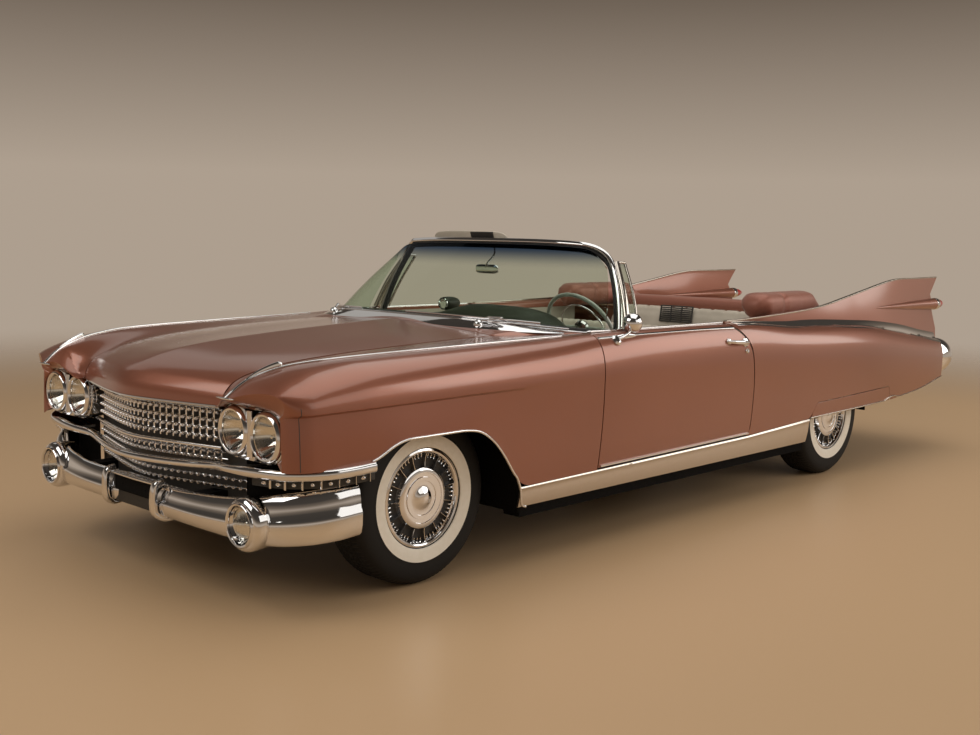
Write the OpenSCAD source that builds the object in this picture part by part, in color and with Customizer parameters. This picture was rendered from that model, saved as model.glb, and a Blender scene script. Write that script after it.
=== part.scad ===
// Open two-door car of the 1950s with tail fins, full size, in millimetres.
// X runs forward, Y to the car's left, Z up. The origin lies on the ground under the middle.

/* [Layout] */
// Distance between the axles
wheelbase = 3302; // [3250:2:3360]
// From the front axle to the front of the bumper
front_overhang = 809; // [795:1:830]
// From the rear axle to the rear of the bumper
rear_overhang = 1604; // [1580:1:1640]
// Distance between the middles of the left and right tyres
track = 1549; // [1530:1:1570]
// Width over the widest line of the sides
body_width = 2036; // [2016:2:2060]

/* [Wheels] */
// Outer radius of the tyre
tyre_r = 350; // [340:1:356]
// Width of the tyre
tyre_w = 213; // [195:1:220]
// Radius at which the tyre sits on the rim
rim_r = 189; // [184:1:194]
// Radius of the spindles that carry the wheels
spindle_r = 30; // [24:1:36]
// Radius of the kingpins
kingpin_r = 12; // [10:0.5:15]
// Running clearance at pins and spindles
pin_gap = 0.05; // [0.02:0.01:0.1]

/* [Panels] */
// Thickness of the outer panels with their folded edges
skin = 12; // [9:0.5:14]
// Gap around doors and lids
panel_gap = 8; // [7:0.5:10]
// Thickness of a door
door_depth = 128; // [120:1:134]
// Height of the widest line at the doors
wide_h = 770; // [750:1:790]
// Height of the top edge of the doors
belt_h = 962; // [955:1:970]
// How far the sides tuck in towards the sills
tuck = 38; // [25:1:50]
// Depth of the step along the front fender
crease = 12; // [6:1:16]
// Depth of the point of the nose in plan
nose_point = 110; // [90:1:130]

/* [Glass] */
// Height of the windshield's top edge at the middle
windshield_h = 1350; // [1330:1:1370]
// Thickness of the glass
glass_t = 6; // [5:0.5:8]

/* [Lamps] */
// Radius of a headlamp's rim
lamp_r = 92; // [86:1:94]
// Height of the headlamps
lamp_h = 658; // [650:1:666]
// Radius of the bumper's round lamp pods
pod_r = 100; // [90:1:106]

/* [Cabin] */
// Height of the floor's top
floor_h = 300; // [296:1:306]
// Radius of the steering wheel
wheel_ring_r = 205; // [190:1:215]
// Radius of the steering wheel's rim section
ring_tube_r = 11; // [9:0.5:14]
// Width of the front seat
seat_w = 1400; // [1300:10:1420]

/* [Hidden] */
$fn = 48;
paint = [0.55, 0.32, 0.28];
bright = [0.82, 0.82, 0.84];
black = [0.08, 0.08, 0.08];
cream = [0.86, 0.83, 0.76];

// Places along the car
half_len = (front_overhang + wheelbase + rear_overhang) / 2;
front_axle = half_len - front_overhang;
rear_axle_x = front_axle - wheelbase;
nose_x = half_len;
half_w = body_width / 2;
hood_rear = front_axle - 600;
door_front = front_axle - 945;
door_rear = rear_axle_x + 1122;
quarter_front = door_rear - 8 - panel_gap;
lid_front = rear_axle_x - 390;
sill_low = 262;
fit = 0.3;

// Value of column c at x in a table whose rows run from the front to the rear
function row_at(t, x, i = 0) = i >= len(t) - 2 || x >= t[i + 1][0] ? i : row_at(t, x, i + 1);
function slope(t, c, i) =
    let (a = t[max(0, i - 1)], b = t[min(len(t) - 1, i + 1)]) (b[c] - a[c]) / (b[0] - a[0]);
function along(t, c, x) =
    let (i = row_at(t, x), a = t[i], b = t[i + 1], h = b[0] - a[0],
         s = min(1, max(0, (x - a[0]) / h)), s2 = s * s, s3 = s2 * s)
    (2 * s3 - 3 * s2 + 1) * a[c] + (s3 - 2 * s2 + s) * h * slope(t, c, i)
    + (3 * s2 - 2 * s3) * b[c] + (s3 - s2) * h * slope(t, c, i + 1);
function mix(a, b, s) = a + (b - a) * s;
function clamp(s) = min(1, max(0, s));
function curve(v, e) = sign(v) * pow(abs(v), e);

// Sides: station, inset of the widest line from the half width, its height,
// inset of the fender's crest or the belt from the half width, and its height
SIDE = [
    [nose_x, 108, 745, 328, 782],
    [front_axle + 720, 62, 750, 310, 850],
    [front_axle + 628, 42, 753, 290, 885],
    [front_axle + 536, 30, 756, 262, 905],
    [front_axle + 342, 15, 760, 206, 923],
    [front_axle - 153, 4, 768, 168, 937],
    [front_axle - 692, 2, wide_h, 138, 948],
    [door_front, 1, wide_h, 112, belt_h - 6],
    [door_front - 375, 0, wide_h, 88, belt_h],
    [door_rear, 0, wide_h - 8, 86, belt_h - 8],
    [rear_axle_x + 607, 1, wide_h - 30, 94, belt_h - 45],
    [rear_axle_x - 279, 9, 708, 122, 882],
    [rear_axle_x - 887, 36, 665, 137, 806],
    [rear_axle_x - 1250, 60, 635, 146, 762],
    [rear_axle_x - 1460, 80, 618, 152, 738]];
function wide_y(x) = half_w - along(SIDE, 1, x);
function wide_z(x) = along(SIDE, 2, x);
function crest_y(x) = half_w - along(SIDE, 3, x);
function crest_z(x) = along(SIDE, 4, x);

// Height of the lower edge of the fender, over the front wheel, and of the quarter panel
arch_h = tyre_r + 277;
function sill_top(x) = lookup(x, [[rear_axle_x + 474, 397], [door_rear, 372], [front_axle - 448, 352]]);
FENDER_LOW = [[nose_x, 548], [front_axle + 363, 552], [front_axle + 253, arch_h - 2], [front_axle - 122, arch_h],
    [front_axle - 207, arch_h - 23], [front_axle - 319, arch_h - 126], [front_axle - 425, sill_top(front_axle - 425)],
    [door_front, sill_top(door_front)]];
QUARTER_LOW = [[quarter_front, sill_top(quarter_front)], [rear_axle_x + 474, 397], [rear_axle_x + 412, 483],
    [rear_axle_x - 512, 502], [rear_axle_x - 559, 409], [rear_axle_x - 1036, 437], [rear_axle_x - 1460, 496]];
function edge_z(t, x) = lookup(x, [for (i = [len(t) - 1:-1:0]) t[i]]);

// Front and rear edge of the door by height
function door_front_at(z) = mix(door_front + 4, door_front - 6, clamp((z - 340) / 620));
function door_rear_at(z) = door_rear + lookup(belt_h - z, [[0, 158], [19, 148], [45, 102], [103, 38], [176, 10],
    [297, -6], [402, -9]]);

// A point of the side below the widest line, and between it and the crest
function below(x, z) =
    [x, wide_y(x) - tuck * pow(clamp((wide_z(x) - z) / (wide_z(x) - sill_low)), 2.2), z];
function above(x, s) =
    [x, mix(crest_y(x), wide_y(x), pow(cos(90 * s), 0.83)), mix(wide_z(x), crest_z(x), pow(sin(90 * s), 0.95))];

// A closed solid from points and triangles, turned the right way out
function turned(p, f) = [for (t = f) cross(p[t[0]], p[t[1]]) * p[t[2]]] * [for (t = f) 1];
module solid(p, f) polyhedron(p, turned(p, f) < 0 ? f : [for (t = f) [t[2], t[1], t[0]]], convexity = 10);
function pair(a, b, c, d) = [[a, b, c], [a, c, d]];

// A shell between an outer and an inner grid of points
module shell(outer, inner) {
    r = len(outer);
    c = len(outer[0]);
    n = r * c;
    solid([for (g = [outer, inner]) for (line = g) each line], concat(
        [for (i = [0:r - 2]) for (j = [0:c - 2]) each
            pair(i * c + j, i * c + j + 1, (i + 1) * c + j + 1, (i + 1) * c + j)],
        [for (i = [0:r - 2]) for (j = [0:c - 2]) each
            pair(n + i * c + j, n + (i + 1) * c + j, n + (i + 1) * c + j + 1, n + i * c + j + 1)],
        [for (j = [0:c - 2]) each pair(j, n + j, n + j + 1, j + 1)],
        [for (j = [0:c - 2]) each pair(n - c + j, n - c + j + 1, 2 * n - c + j + 1, 2 * n - c + j)],
        [for (i = [0:r - 2]) each pair(i * c, (i + 1) * c, n + (i + 1) * c, n + i * c)],
        [for (i = [0:r - 2]) each
            pair(i * c + c - 1, n + i * c + c - 1, n + (i + 1) * c + c - 1, (i + 1) * c + c - 1)]));
}

// A closed bar through rings of points, each ring flat and convex
module loft(rings) {
    r = len(rings);
    c = len(rings[0]);
    solid([for (ring = rings) each ring], concat(
        [for (i = [0:r - 2]) for (j = [0:c - 1]) each
            pair(i * c + j, i * c + (j + 1) % c, (i + 1) * c + (j + 1) % c, (i + 1) * c + j)],
        [for (j = [1:c - 2]) [0, j + 1, j]],
        [for (j = [1:c - 2]) [(r - 1) * c, (r - 1) * c + j, (r - 1) * c + j + 1]]));
}

// Rings of a flat-lying bar along a path in plan; each section point is [outwards, height]
function heading(path, i) =
    let (a = path[max(0, i - 1)], b = path[min(len(path) - 1, i + 1)]) atan2(b[1] - a[1], b[0] - a[0]);
function ring(path, i, section) =
    let (a = heading(path, i))
    [for (q = section) [path[i][0] + q[0] * sin(a), path[i][1] - q[0] * cos(a), q[1]]];

module both() {
    children();
    mirror([0, 1, 0]) children();
}

// Ends of the windshield: half width and station of its base and of its top edge, and the turn where the cowl ends
base_half_w = 846;
base_rear = front_axle - 1243;
base_depth = 540;
top_half_w = 698;
top_rear = front_axle - 1336;
cowl_seam = 76;
cowl_end = 10;

// Front fenders
// Seam between hood and fender: station and distance from the middle
SEAM = [[nose_x, 505], [front_axle + 552, 540], [front_axle + 252, 590], [front_axle - 153, 625],
    [hood_rear, 645], [hood_rear - 160, 745], [hood_rear - 318, 818],
    [cowl_rear(1)[0], cowl_rear(1)[1] + panel_gap + cowl_end]];
function seam_y(x) = lookup(x, [for (i = [len(SEAM) - 1:-1:0]) SEAM[i]]);
// Heights over the nose: distance behind the lip, at the middle and at the seam
HOOD = [[0, 742, 742], [-6, 776, 769], [-21, 806, 797], [-50, 837, 826], [-110, 864, 853], [-222, 892, 881],
    [-428, 919, 906], [-700, 940, 924], [-1000, 957, 938], [-1532, 981, 952]];
function prow(y) = nose_x - nose_point * (sqrt(y * y + 14400) - 120) / 400;
function seam_z(x) = along(HOOD, 2, min(0, x - prow(seam_y(x))));
lamp_mid_y = 690;
lamp_pitch = 198;
rim_half_w = 205;
rim_half_h = 108;
lamp_face = front_axle + 680;
fender_lip = front_axle + 700;
brow = 95;
// Extra room for the swing of the door's front edge
door_swing = 2;
fender_end = door_front + panel_gap + door_swing;
// Stations of the fender, measured at its lower edge
FENDER_X = [fender_lip, front_axle + 640, front_axle + 540, front_axle + 363, front_axle + 308, front_axle + 253,
    front_axle + 60, front_axle - 122, front_axle - 207, front_axle - 260, front_axle - 319, front_axle - 372,
    front_axle - 425, front_axle - 520, front_axle - 640, front_axle - 800, fender_end];
// Rows of the fender's section: part (0 below, 1 crest, 2 inner side) and place in it
FENDER_ROWS = [[0, 0], [0, 0.3], [0, 0.6], [0, 1], [1, 0], [1, 0.2], [1, 0.42], [1, 0.65], [1, 0.85], [1, 1],
    [2, 0.33], [2, 0.67], [2, 1]];
function lip_x(q) = q[0] == 0 ? 0 : q[0] == 1 ? brow * pow(q[1], 2) : mix(brow, 20, pow(q[1], 0.7));
function rear_shift(z, x) = (door_front_at(z) - door_front) * clamp((fender_end + 160 - x) / 160);
function row_x(q, x, z) = x + lip_x(q) * clamp((x - front_axle - 363) / 337) + rear_shift(z, x);
function step_at(x) = crease * clamp((x - front_axle + 740) / 900);
function fender_row_z(q, x, low) = q[0] == 0 ? mix(low, wide_z(x) - 10, q[1])
    : mix(wide_z(x), crest_z(x), q[0] == 1 ? sin(90 * q[1]) : 1);
function fender_point(q, x0) =
    let (low = edge_z(FENDER_LOW, x0), x = row_x(q, x0, fender_row_z(q, x0, low)))
    q[0] == 0 ? below(x, mix(low, wide_z(x) - 10, q[1])) - [0, step_at(x) * q[1], 0]
    : q[0] == 1 ? above(x, q[1])
    : [x, mix(crest_y(x), seam_y(x) + panel_gap / 2, q[1]),
       mix(seam_z(x), crest_z(x), 0.5 + 0.5 * cos(180 * q[1]))];
function fender_inward(q) = let (a = q[0] == 0 ? 0 : q[0] == 1 ? 90 * q[1] : 90) [0, -skin * cos(a), -skin * sin(a)];
// The fold under the brow: from the lip to the edge round the lamps, with the inner side larger by the skin
function lamp_edge(p, t = 0) =
    let (a = atan2((p[2] - lamp_h) / rim_half_h, (p[1] - lamp_mid_y) / rim_half_w))
    [lamp_face - t, lamp_mid_y + (rim_half_w + t) * curve(cos(a), 0.75), lamp_h + (rim_half_h + t) * curve(sin(a), 0.75)];
function lip_inward(q) = let (k = lip_x(q) / brow)
    [-skin - 0.3 * lip_x(q), fender_inward(q)[1] * (1 - k) + (q[0] == 2 ? panel_gap / 2 * q[1] : 0),
     fender_inward(q)[2] * 0.4 * (1 - k) + 0.1 * lip_x(q)];
module fender() color(paint) shell(
    [for (q = FENDER_ROWS) concat([lamp_edge(fender_point(q, fender_lip))], [for (x = FENDER_X) fender_point(q, x)])],
    [for (q = FENDER_ROWS) concat([lamp_edge(fender_point(q, fender_lip), skin)],
        [for (x = FENDER_X) fender_point(q, x) + (x == fender_lip ? lip_inward(q) : fender_inward(q))])]);
module fender_left() fender();
module fender_right() mirror([0, 1, 0]) fender();

// Hood
hood_span = [0, 0.004, 0.014, 0.033, 0.072, 0.145, 0.28, 0.46, 0.65, 0.83, 1];
hood_rows = [for (v = [-1, -0.85, -0.65, -0.4, -0.15, 0.15, 0.4, 0.65, 0.85, 1]) v];
hinge_y = 300;
hood_pin_z = 934;
hood_pin_r = 6;
hood_pin_x = hood_rear + 60;
function hood_point(v, s) =
    let (y0 = v * (505 - panel_gap / 2), x = mix(prow(y0) - 4, hood_rear, s),
         y = v * (seam_y(x) - panel_gap / 2), d = x - prow(y0) + 4)
    [x, y, mix(along(HOOD, 2, d), along(HOOD, 1, d), 1 - pow(abs(v), 2.5))];
function hood_inward(v, s) = let (a = 90 * clamp(s / 0.05)) [-skin * cos(a), 0, -skin * sin(a)];
module hood() color(paint) union() {
    shell([for (v = hood_rows) [for (s = hood_span) hood_point(v, s)]],
        [for (v = hood_rows) [for (s = hood_span) hood_point(v, s) + hood_inward(v, s)]]);
    both() translate([hood_pin_x, hinge_y, 0]) difference() {
        union() {
            translate([0, 15, hood_pin_z]) rotate([90, 0, 0]) cylinder(r = hood_pin_r + 8, h = 30);
            translate([0, -15, hood_pin_z - 2]) cube([70, 30, 24]);
        }
        translate([0, 20, hood_pin_z]) rotate([90, 0, 0]) cylinder(r = hood_pin_r + pin_gap, h = 40);
    }
}

// Trunk lid: station, height at its sides, rise of its middle
LID = [[lid_front, 943, 15], [rear_axle_x - 560, 933, 18], [rear_axle_x - 760, 918, 22],
    [rear_axle_x - 960, 899, 25], [rear_axle_x - 1160, 874, 26], [rear_axle_x - 1330, 850, 26],
    [rear_axle_x - 1440, 832, 25], [rear_axle_x - 1490, 812, 22], [rear_axle_x - 1512, 776, 14],
    [rear_axle_x - 1518, 720, 6], [rear_axle_x - 1516, 660, 2]];
function lid_normal(i) =
    let (a = LID[max(0, i - 1)], b = LID[min(len(LID) - 1, i + 1)], d = [b[0] - a[0], b[1] - a[1]])
    [d[1], 0, -d[0]] / norm(d);
lid_rows = [-1, -0.8, -0.5, -0.17, 0.17, 0.5, 0.8, 1];
function deck_y(x) = along(FIN, 5, x);
lid_pin_x = lid_front + 4;
lid_pin_z = 925;
function lid_point(v, i) =
    [LID[i][0], v * (deck_y(LID[i][0]) - panel_gap), LID[i][1] + LID[i][2] * (1 - v * v)];
module trunk_lid() color(paint) union() {
    shell([for (v = lid_rows) [for (i = [0:len(LID) - 1]) lid_point(v, i)]],
        [for (v = lid_rows) [for (i = [0:len(LID) - 1]) lid_point(v, i) - skin * lid_normal(i)]]);
    both() translate([lid_pin_x, hinge_y, lid_pin_z]) difference() {
        union() {
            translate([0, 15, 0]) rotate([90, 0, 0]) cylinder(r = hood_pin_r + 8, h = 30);
            translate([-60, -15, 0]) cube([60, 30, 20]);
        }
        translate([0, 20, 0]) rotate([90, 0, 0]) cylinder(r = hood_pin_r + pin_gap, h = 40);
    }
}

// Quarter panels with their fins
// Station, fin top inset and height, foot of the fin's inner side, its height, edge of the deck, its height
FIN = [
    [quarter_front, 906, 966, 884, 962, 852, 930],
    [rear_axle_x + 505, 864, 982, 838, 966, 815, 930],
    [rear_axle_x + 127, 842, 1003, 808, 972, 786, 935],
    [rear_axle_x - 279, 822, 1056, 765, 962, 720, 945],
    [rear_axle_x - 446, 817, 1080, 742, 952, 690, 941],
    [rear_axle_x - 887, 809, 1141, 716, 910, 660, 902],
    [rear_axle_x - 1246, 804, 1147, 706, 868, 655, 862],
    [rear_axle_x - 1558, 800, 1150, 700, 830, 650, 818]];
fin_edge = 18;
nacelle_z = 974;
nacelle_r = 38;
QUARTER_X = [quarter_front, rear_axle_x + 800, rear_axle_x + 540, rear_axle_x + 474, rear_axle_x + 443,
    rear_axle_x + 412, rear_axle_x + 150, rear_axle_x - 120, rear_axle_x - 330, rear_axle_x - 512, rear_axle_x - 536,
    rear_axle_x - 559, rear_axle_x - 680, rear_axle_x - 800, rear_axle_x - 900, rear_axle_x - 1036,
    rear_axle_x - 1180, rear_axle_x - 1320, rear_axle_x - 1440];
// Rows of the section: part (0 below, 1 shoulder, 2 fin's outer side, 3 its inner side, 4 deck) and place in it
QUARTER_ROWS = concat([for (s = [0, 0.35, 0.7]) [0, s]], [for (s = [0, 0.3, 0.55, 0.78]) [1, s]],
    [for (s = [0, 0.28, 0.4, 0.46, 0.52, 0.58, 0.64, 0.76, 1]) [2, s]],
    [for (s = [0, 0.24, 0.36, 0.42, 0.48, 0.54, 0.6, 0.8, 1]) [3, s]], [[4, 1]]);
// How far the trailing edge of each row lies behind or ahead of the last station
function trail(q, z) = q[0] < 2 ? 20 : lookup(z, [[735, -20], [812, -40], [925, -4], [1016, -4], [1040, 8], [1150, -118]]);
function nacelle(x, z) = let (r = nacelle_r * pow(clamp((rear_axle_x - 640 - x) / 760), 0.7), h = abs(z - nacelle_z))
    h < r ? sqrt(r * r - h * h) : 0;
function quarter_at(q, x, low, bulge = 1) =
    q[0] == 0 ? below(x, mix(low, wide_z(x), q[1]))
    : q[0] == 1 ? above(x, q[1])
    : q[0] == 2 ? let (z = mix(crest_z(x), along(FIN, 2, x), q[1]))
        [x, mix(crest_y(x), along(FIN, 1, x) + fin_edge / 2, pow(q[1], 0.8)) + bulge * nacelle(x, z), z]
    : q[0] == 3 ? let (z = mix(along(FIN, 2, x), along(FIN, 4, x), q[1]))
        [x, mix(along(FIN, 1, x) - fin_edge / 2, along(FIN, 3, x), pow(q[1], 1.6)) - bulge * nacelle(x, z), z]
    : [x, deck_y(x), along(FIN, 6, x)];
function quarter_point(q, x0, bulge = 1) =
    let (low = edge_z(QUARTER_LOW, x0), p = quarter_at(q, x0, low), k = clamp((rear_axle_x - 1036 - x0) / 404),
         lead = door_rear_at(min(p[2], belt_h) - panel_gap) - door_rear + 8,
         x = x0 + trail(q, p[2]) * k + lead * clamp((x0 - quarter_front + 200) / 200))
    quarter_at(q, x, low, bulge);
function quarter_inward(q, x) = let (fin = along(FIN, 2, x) - crest_z(x))
    q[0] == 0 ? [0, -skin, 0]
    : q[0] == 1 ? [0, -skin * cos(70 * q[1]), -skin * sin(70 * q[1])]
    : q[0] == 2 ? [0, -mix(skin, fin_edge * 0.35, q[1]), -mix(skin * 0.6, min(70, 10 + fin * 0.3), q[1])]
    : q[0] == 3 ? [0, mix(fin_edge * 0.35, skin, q[1]), -mix(min(70, 10 + fin * 0.3), skin, q[1])]
    : [0, 0, -skin];
module quarter() color(paint) shell(
    [for (q = QUARTER_ROWS) [for (x = QUARTER_X) quarter_point(q, x)]],
    [for (q = QUARTER_ROWS) [for (x = QUARTER_X) quarter_point(q, x, 0) + quarter_inward(q, x)]]);
module quarter_left() quarter();
module quarter_right() mirror([0, 1, 0]) quarter();

// Doors
door_pin_x = door_front - 25;
door_pin_y = half_w - 15;
door_pin_r = 5;
hinge_z = [590, 740];
hinge_h = 60;
pocket_x = 38;
door_inner_y = half_w - 10 - door_depth;
function door_x(s, z) = mix(door_front_at(z), door_rear_at(z), s);
DOOR_ROWS = concat([for (s = [0, 0.35, 0.7]) [0, s]], [for (s = [0, 0.25, 0.5, 0.75, 1]) [1, s]]);
door_span = [0, 0.02, 0.2, 0.4, 0.6, 0.8, 0.98, 1];
function door_outer(q, s) =
    let (z0 = mix(sill_top(mix(door_front, door_rear, s)) + panel_gap, wide_h, q[1]),
         z = q[0] == 0 ? z0 : mix(wide_h, belt_h, pow(sin(90 * q[1]), 0.95)), x = door_x(s, z))
    q[0] == 0 ? below(x, z0) : above(x, q[1]);
function door_inner(q, s) =
    let (p = door_outer(q, s)) [mix(door_front_at(p[2]) - 5, door_rear_at(p[2]) + 16, s), door_inner_y - (q[0] == 1 ? 14 * q[1] : 0), p[2]];
module door() difference() {
    shell([for (q = DOOR_ROWS) [for (s = door_span) door_outer(q, s)]],
        [for (q = DOOR_ROWS) [for (s = door_span) door_inner(q, s)]]);
    for (z = hinge_z) {
        translate([door_front - pocket_x, door_pin_y - 185, z]) cube([100, 182, hinge_h]);
        translate([door_pin_x - 9, door_pin_y - 45, z]) cube([24, 45 + door_pin_r + 3, hinge_h]);
        translate([door_pin_x, door_pin_y, z - 30]) cylinder(r = door_pin_r + pin_gap, h = hinge_h + 60);
    }
}
module door_left() color(paint) door();
module door_right() color(paint) mirror([0, 1, 0]) door();
module door_hinges() color(black) both() for (z = hinge_z) union() {
    translate([door_pin_x, door_pin_y, z - 25]) cylinder(r = door_pin_r, h = hinge_h + 50);
    translate([door_pin_x, door_pin_y, z + 6]) cylinder(r = door_pin_r + 2, h = hinge_h - 12);
    translate([door_pin_x - 3, door_pin_y - 70, z + 6]) cube([6, 68, hinge_h - 12]);
    translate([door_pin_x - 3, door_pin_y - 80, z + 6]) cube([pillar_x - fit - door_pin_x + 3, 12, hinge_h - 12]);
}

// Windshield: the curve of its base and of its top edge, from the right end (-90) to the left (90)
function base_at(a, inset = 0) = [base_rear + (base_depth - inset) * pow(max(0, cos(a)), 0.77),
    (base_half_w - inset) * curve(sin(a), 0.59), 936 + 52 * cos(a)];
function top_at(a) = [top_rear + 92 * pow(max(0, cos(a)), 0.8), top_half_w * curve(sin(a), 0.65),
    windshield_h - 30 + 30 * cos(a)];
glass_rows = [0.009, 0.27, 0.5, 0.75, 0.98];
glass_turn = [-84, -75, -62, -48, -34, -20, -7, 7, 20, 34, 48, 62, 75, 84];
function glass_at(a, s) = mix(base_at(a), top_at(a), s) + [30 * sin(180 * s) * cos(a), 24 * sin(180 * s) * sin(a), 0];
function glass_out(a) = [0.9 * cos(a), sin(a), 0.4] * glass_t;
module windshield_glass() color([0.6, 0.8, 0.75, 0.4]) shell(
    [for (s = glass_rows) [for (a = glass_turn) glass_at(a, s) + glass_out(a) / 2]],
    [for (s = glass_rows) [for (a = glass_turn) glass_at(a, s) - glass_out(a) / 2]]);

// A bar of flat section along a path in space
function cut(p, i) = let (a = p[max(0, i - 1)], b = p[min(len(p) - 1, i + 1)]) (b - a) / norm(b - a);
function across(t, up) = let (v = cross(t, up)) v / norm(v);
module strip(path, w, h, up = [0, 0, 1]) loft([for (i = [0:len(path) - 1])
    let (t = cut(path, i), n = across(t, up), m = cross(n, t))
    [for (a = [0:45:315]) path[i] + n * w / 2 * curve(cos(a), 0.7) + m * h / 2 * curve(sin(a), 0.7)]]);
frame_turn = [for (a = [75:-10:-75]) a];
pillar_rise = [-0.01, 0.25, 0.5, 0.75, 0.96];
function pillar_at(side, s) = glass_at(90 * side, s) + [-16.2, 0, 2];
frame_path = concat([for (s = pillar_rise) pillar_at(1, s)], [for (a = frame_turn) top_at(a) + [-4, 0, 10]],
    [for (i = [len(pillar_rise) - 1:-1:0]) pillar_at(-1, pillar_rise[i])]);
module windshield_frame() color(bright) {
    strip(frame_path, 26, 26, [1, 0, 1]);
    strip([for (a = [-cowl_seam:8:cowl_seam]) base_at(a) + [8.2, 3 * sin(a), 0]], 12, 11);
}

// Cowl between hood and windshield: its outer edge follows the hood's rear edge and then the fenders,
// with a trough under the hood's edge
cowl_rows = [-1, -0.88, -0.74, -0.63, -0.6, -0.4, -0.2, 0, 0.2, 0.4, 0.6, 0.63, 0.74, 0.88, 1];
cowl_corner = 0.6;
trough = 78;
hood_gap = 20;
function cowl_side(v) = clamp((abs(v) - cowl_corner) / (1 - cowl_corner));
function cowl_front(v) = let (k = cowl_side(v), x = mix(hood_rear - hood_gap, cowl_rear(1)[0], k))
    [x, sign(v) * (k > 0 ? seam_y(x) - panel_gap / 2 : abs(v) / cowl_corner * (seam_y(hood_rear) - panel_gap / 2)),
     k > 0 ? mix(hood_point(1, 1)[2], cowl_rear(1)[2] + 2, k) : hood_point(v / cowl_corner, 1)[2]];
function cowl_rear(v) = base_at(cowl_seam * v) + [14, 6 * v, -6];
function cowl_point(v, s) = mix(cowl_front(v), cowl_rear(v), s) + [0, 0, 6 * sin(180 * s)];
// 1 along the hood's edge, 0 along the fenders
function cowl_hood(v) = 1 - clamp(4 * (cowl_side(v) - 0.08));
function cowl_line(v) = let (k = cowl_hood(v))
    [cowl_front(v) + [30 * k, 0, -mix(skin - 0.5, trough, k)], cowl_front(v) + [4 * k, 0, -mix(skin / 2, trough, k)],
     cowl_front(v),
     cowl_point(v, 0.5), cowl_point(v, 1)];
function cowl_inward(v, i) = let (k = cowl_hood(v), edge = [-0.7, -0.4 - skin / 2, -0.1 - skin])
    i > 2 ? [0, 0, -skin] : mix([0, -0.13 * skin * (i + 1) * sign(v), edge[i]], [i == 0 ? 0 : -skin, 0, -skin], k);
module cowl() color(paint) shell([for (v = cowl_rows) cowl_line(v)],
    [for (v = cowl_rows) [for (i = [0:4]) cowl_line(v)[i] + cowl_inward(v, i)]]);

// Firewall, hinge pillars and the rails that carry the windshield's ends
firewall_x = front_axle - 898;
wall_t = 12;
pillar_x = door_front + 28;
shaft_r = 38;
tunnel_w = 142;
tunnel_h = tyre_r + shaft_r + 8;
cross_z = 930;
module firewall() translate([firewall_x, 0, 0]) rotate([90, 0, 90]) linear_extrude(wall_t) difference() {
    translate([-800, floor_h - 14]) square([1600, cross_z - 40 - floor_h + 14]);
    translate([-tunnel_w, 0]) square([2 * tunnel_w, tunnel_h + wall_t + 10]);
}
module cowl_frame() color(black) union() {
    firewall();
    both() {
        translate([pillar_x, 800 - fit, 340 + fit]) cube([firewall_x + wall_t - pillar_x, 145, cross_z - 380 - fit]);
        translate([base_rear - 36, 812, cross_z - 40]) cube([firewall_x + wall_t - base_rear + 36, 44, 40]);
    }
}

// Dashboard
dash_w = 1596;
dash_face = front_axle - 1120;
module dashboard() color(cream) union() {
    translate([0, dash_w / 2, 0]) rotate([90, 0, 0]) linear_extrude(dash_w) polygon([[firewall_x - fit, cross_z - 20],
        [dash_face + 40, cross_z - 20], [dash_face, cross_z - 55], [dash_face + 12, cross_z - 130],
        [dash_face + 70, cross_z - 200], [firewall_x - fit, cross_z - 210]]);
    translate([0, 0, cross_z - 32]) linear_extrude(14) polygon(concat(
        [for (a = [-64:8:64]) [base_at(a, 26)[0], base_at(a, 26)[1]]],
        [[dash_face + 60, dash_w / 2], [dash_face + 60, -dash_w / 2]]));
}

// Floor with its tunnel, sills, seat riser and trunk floor
riser_x = rear_axle_x + 384;
shelf_h = 505;
trunk_step = rear_axle_x - 346;
trunk_h = 425;
trunk_end = rear_axle_x - 1436;
deck_w = 1240;
sill_face = half_w - tuck - 17;
module floor_pan() color(black) union() {
    both() {
        translate([riser_x, tunnel_w - wall_t, floor_h - 14]) cube([firewall_x - riser_x, 880 - tunnel_w + wall_t, 14]);
        translate([riser_x, tunnel_w - wall_t, floor_h - 14]) cube([firewall_x - riser_x, wall_t, tunnel_h - floor_h + 14]);
        translate([rear_axle_x + 480, 872, 215]) cube([front_axle - 460 - rear_axle_x - 480, sill_face - 872, 125]);
    }
    translate([riser_x, -tunnel_w, tunnel_h]) cube([firewall_x - riser_x, 2 * tunnel_w, wall_t]);
    translate([0, deck_w / 2, 0]) rotate([90, 0, 0]) linear_extrude(deck_w) polygon([[riser_x, tunnel_h],
        [riser_x, shelf_h + wall_t], [trunk_step, shelf_h + wall_t], [trunk_step, trunk_h + wall_t],
        [trunk_end, trunk_h + wall_t], [trunk_end, trunk_h], [trunk_step + wall_t, trunk_h],
        [trunk_step + wall_t, shelf_h], [riser_x - wall_t, shelf_h], [riser_x - wall_t, tunnel_h]]);
    both() translate([riser_x - wall_t, tunnel_w - wall_t, floor_h - 14])
        cube([wall_t, deck_w / 2 - tunnel_w + wall_t, shelf_h - floor_h + 14]);
}

// Chassis frame
rail_y = [365, 435];
rear_rail_y = [435, 505];
frame_low = 195;
frame_high = floor_h - 14 - fit;
module rail(y, profile) translate([0, y[1], 0]) rotate([90, 0, 0]) linear_extrude(y[1] - y[0]) polygon(profile);
tie_r = 14;
pad_size = [90, 60, 8];
module frame() color(black) difference() {
    rails();
    both() {
        translate([front_axle + 640, (rail_y[0] + rail_y[1]) / 2, 290]) cylinder(r = tie_r, h = 120);
        translate([rear_axle_x - 1260, (rear_rail_y[0] + rear_rail_y[1]) / 2, 320]) cylinder(r = tie_r, h = 110);
    }
}
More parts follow.
